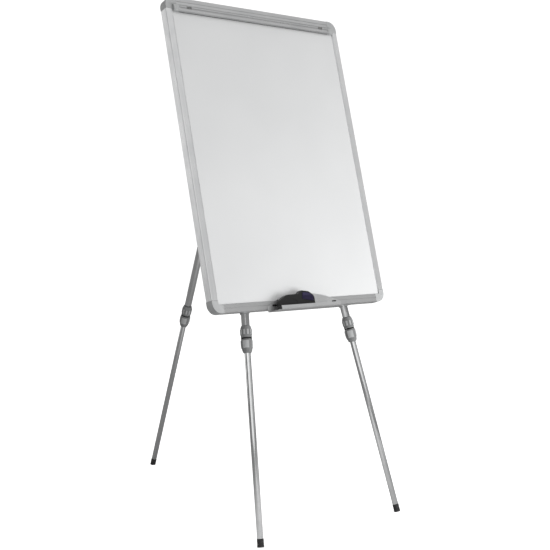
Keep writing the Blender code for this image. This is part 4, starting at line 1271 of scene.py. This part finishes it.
def build_floor():
    """A white floor that glows a little to the camera, and reflects as a bright lane on a greyer ground."""
    half = 9.0
    points = [(-half, -half, 0), (half, -half, 0), (half, half, 0), (-half, half, 0)]
    floor = linked("studio_floor", fresh_mesh("studio_floor", points, [(0, 1, 2, 3)]))
    finish = Finish("studio_floor", Roughness=0.9, Specular_IOR_Level=0.2)
    seen = finish.seen()
    pale = finish.mixed(finish.noise(1.2, 3.0), (0.90, 0.90, 0.90), (0.92, 0.92, 0.92))
    aside = finish.calc("SUBTRACT", finish.dot(finish.space, LANE_RIGHT), LANE_MIDDLE)
    beside = finish.levels(finish.calc("ABSOLUTE", aside, 0.0), *LANE_EDGE, 1.0, 0.0)
    ahead = finish.levels(finish.dot(finish.space, LANE_AHEAD), *LANE_START)
    lane = finish.mixed(finish.calc("MULTIPLY", beside, ahead), LANE_GROUND, WHITE)
    finish.colour(finish.mixed(seen, lane, pale))
    finish.shader.inputs["Emission Color"].default_value = (*WHITE, 1.0)
    glow = finish.levels(seen, 0.0, 1.0, 0.0, FLOOR_GLOW)
    finish.links.new(glow, finish.shader.inputs["Emission Strength"])
    floor.data.materials.append(finish.material)


def light_world():
    """Soft surroundings: bright overhead and from the camera's side, dimmer round the back."""
    world = bpy.data.worlds.new("studio")
    bpy.context.scene.world = world
    sky = Tree(world)
    direction = sky.made("TexCoord", "Generated")

    def glow(towards, start, end, low, high):
        facing = sky.dot(direction, Vector(towards).normalized())
        return sky.levels(facing, start, end, low, high, interpolation_type="SMOOTHSTEP")

    light = glow((0, 0, 1), 0.25, 1.0, SURROUND, OVERHEAD)
    for towards, start, end, strength in GLOWS:
        light = sky.made("Math", 0, {0: light, 1: glow(towards, start, end, 0.0, strength)}, operation="ADD")
    light = sky.made("Mix", 0, {0: sky.seen(), 2: light, 3: BACKDROP}, data_type="FLOAT")
    background = sky.nodes["Background"]
    sky.links.new(light, background.inputs["Strength"])
    background.inputs["Color"].default_value = (*WHITE, 1.0)


def add_light(name, place, target, size, energy):
    lamp = bpy.data.lights.new(name, "AREA")
    lamp.shape = "RECTANGLE"
    lamp.size, lamp.size_y = size
    lamp.energy = energy
    holder = linked(name, lamp)
    holder.location = place
    holder.rotation_euler = (Vector(target) - Vector(place)).to_track_quat("-Z", "Y").to_euler()
    holder.visible_glossy = False


def place_camera():
    camera = bpy.data.cameras.new("photo_view")
    camera.lens = CAMERA_LENS
    camera.sensor_width = 36.0
    camera.clip_start, camera.clip_end = 0.05, 100.0
    holder = linked("photo_view", camera)
    aim = Matrix.Rotation(radians(CAMERA_AZIMUTH), 4, "Z")
    tilt = Matrix.Rotation(radians(90 - CAMERA_PITCH), 4, "X")
    roll = Matrix.Rotation(radians(CAMERA_ROLL), 4, "Z")
    holder.matrix_world = shift(CAMERA_AT) @ aim @ tilt @ roll
    bpy.context.scene.camera = holder


build_floor()
light_world()
add_light("low_front", (0.85, -1.85, 0.50), (0.05, -0.35, 0.72), (1.4, 0.8), 25)
place_camera()
bpy.context.scene.view_settings.view_transform = "Standard"
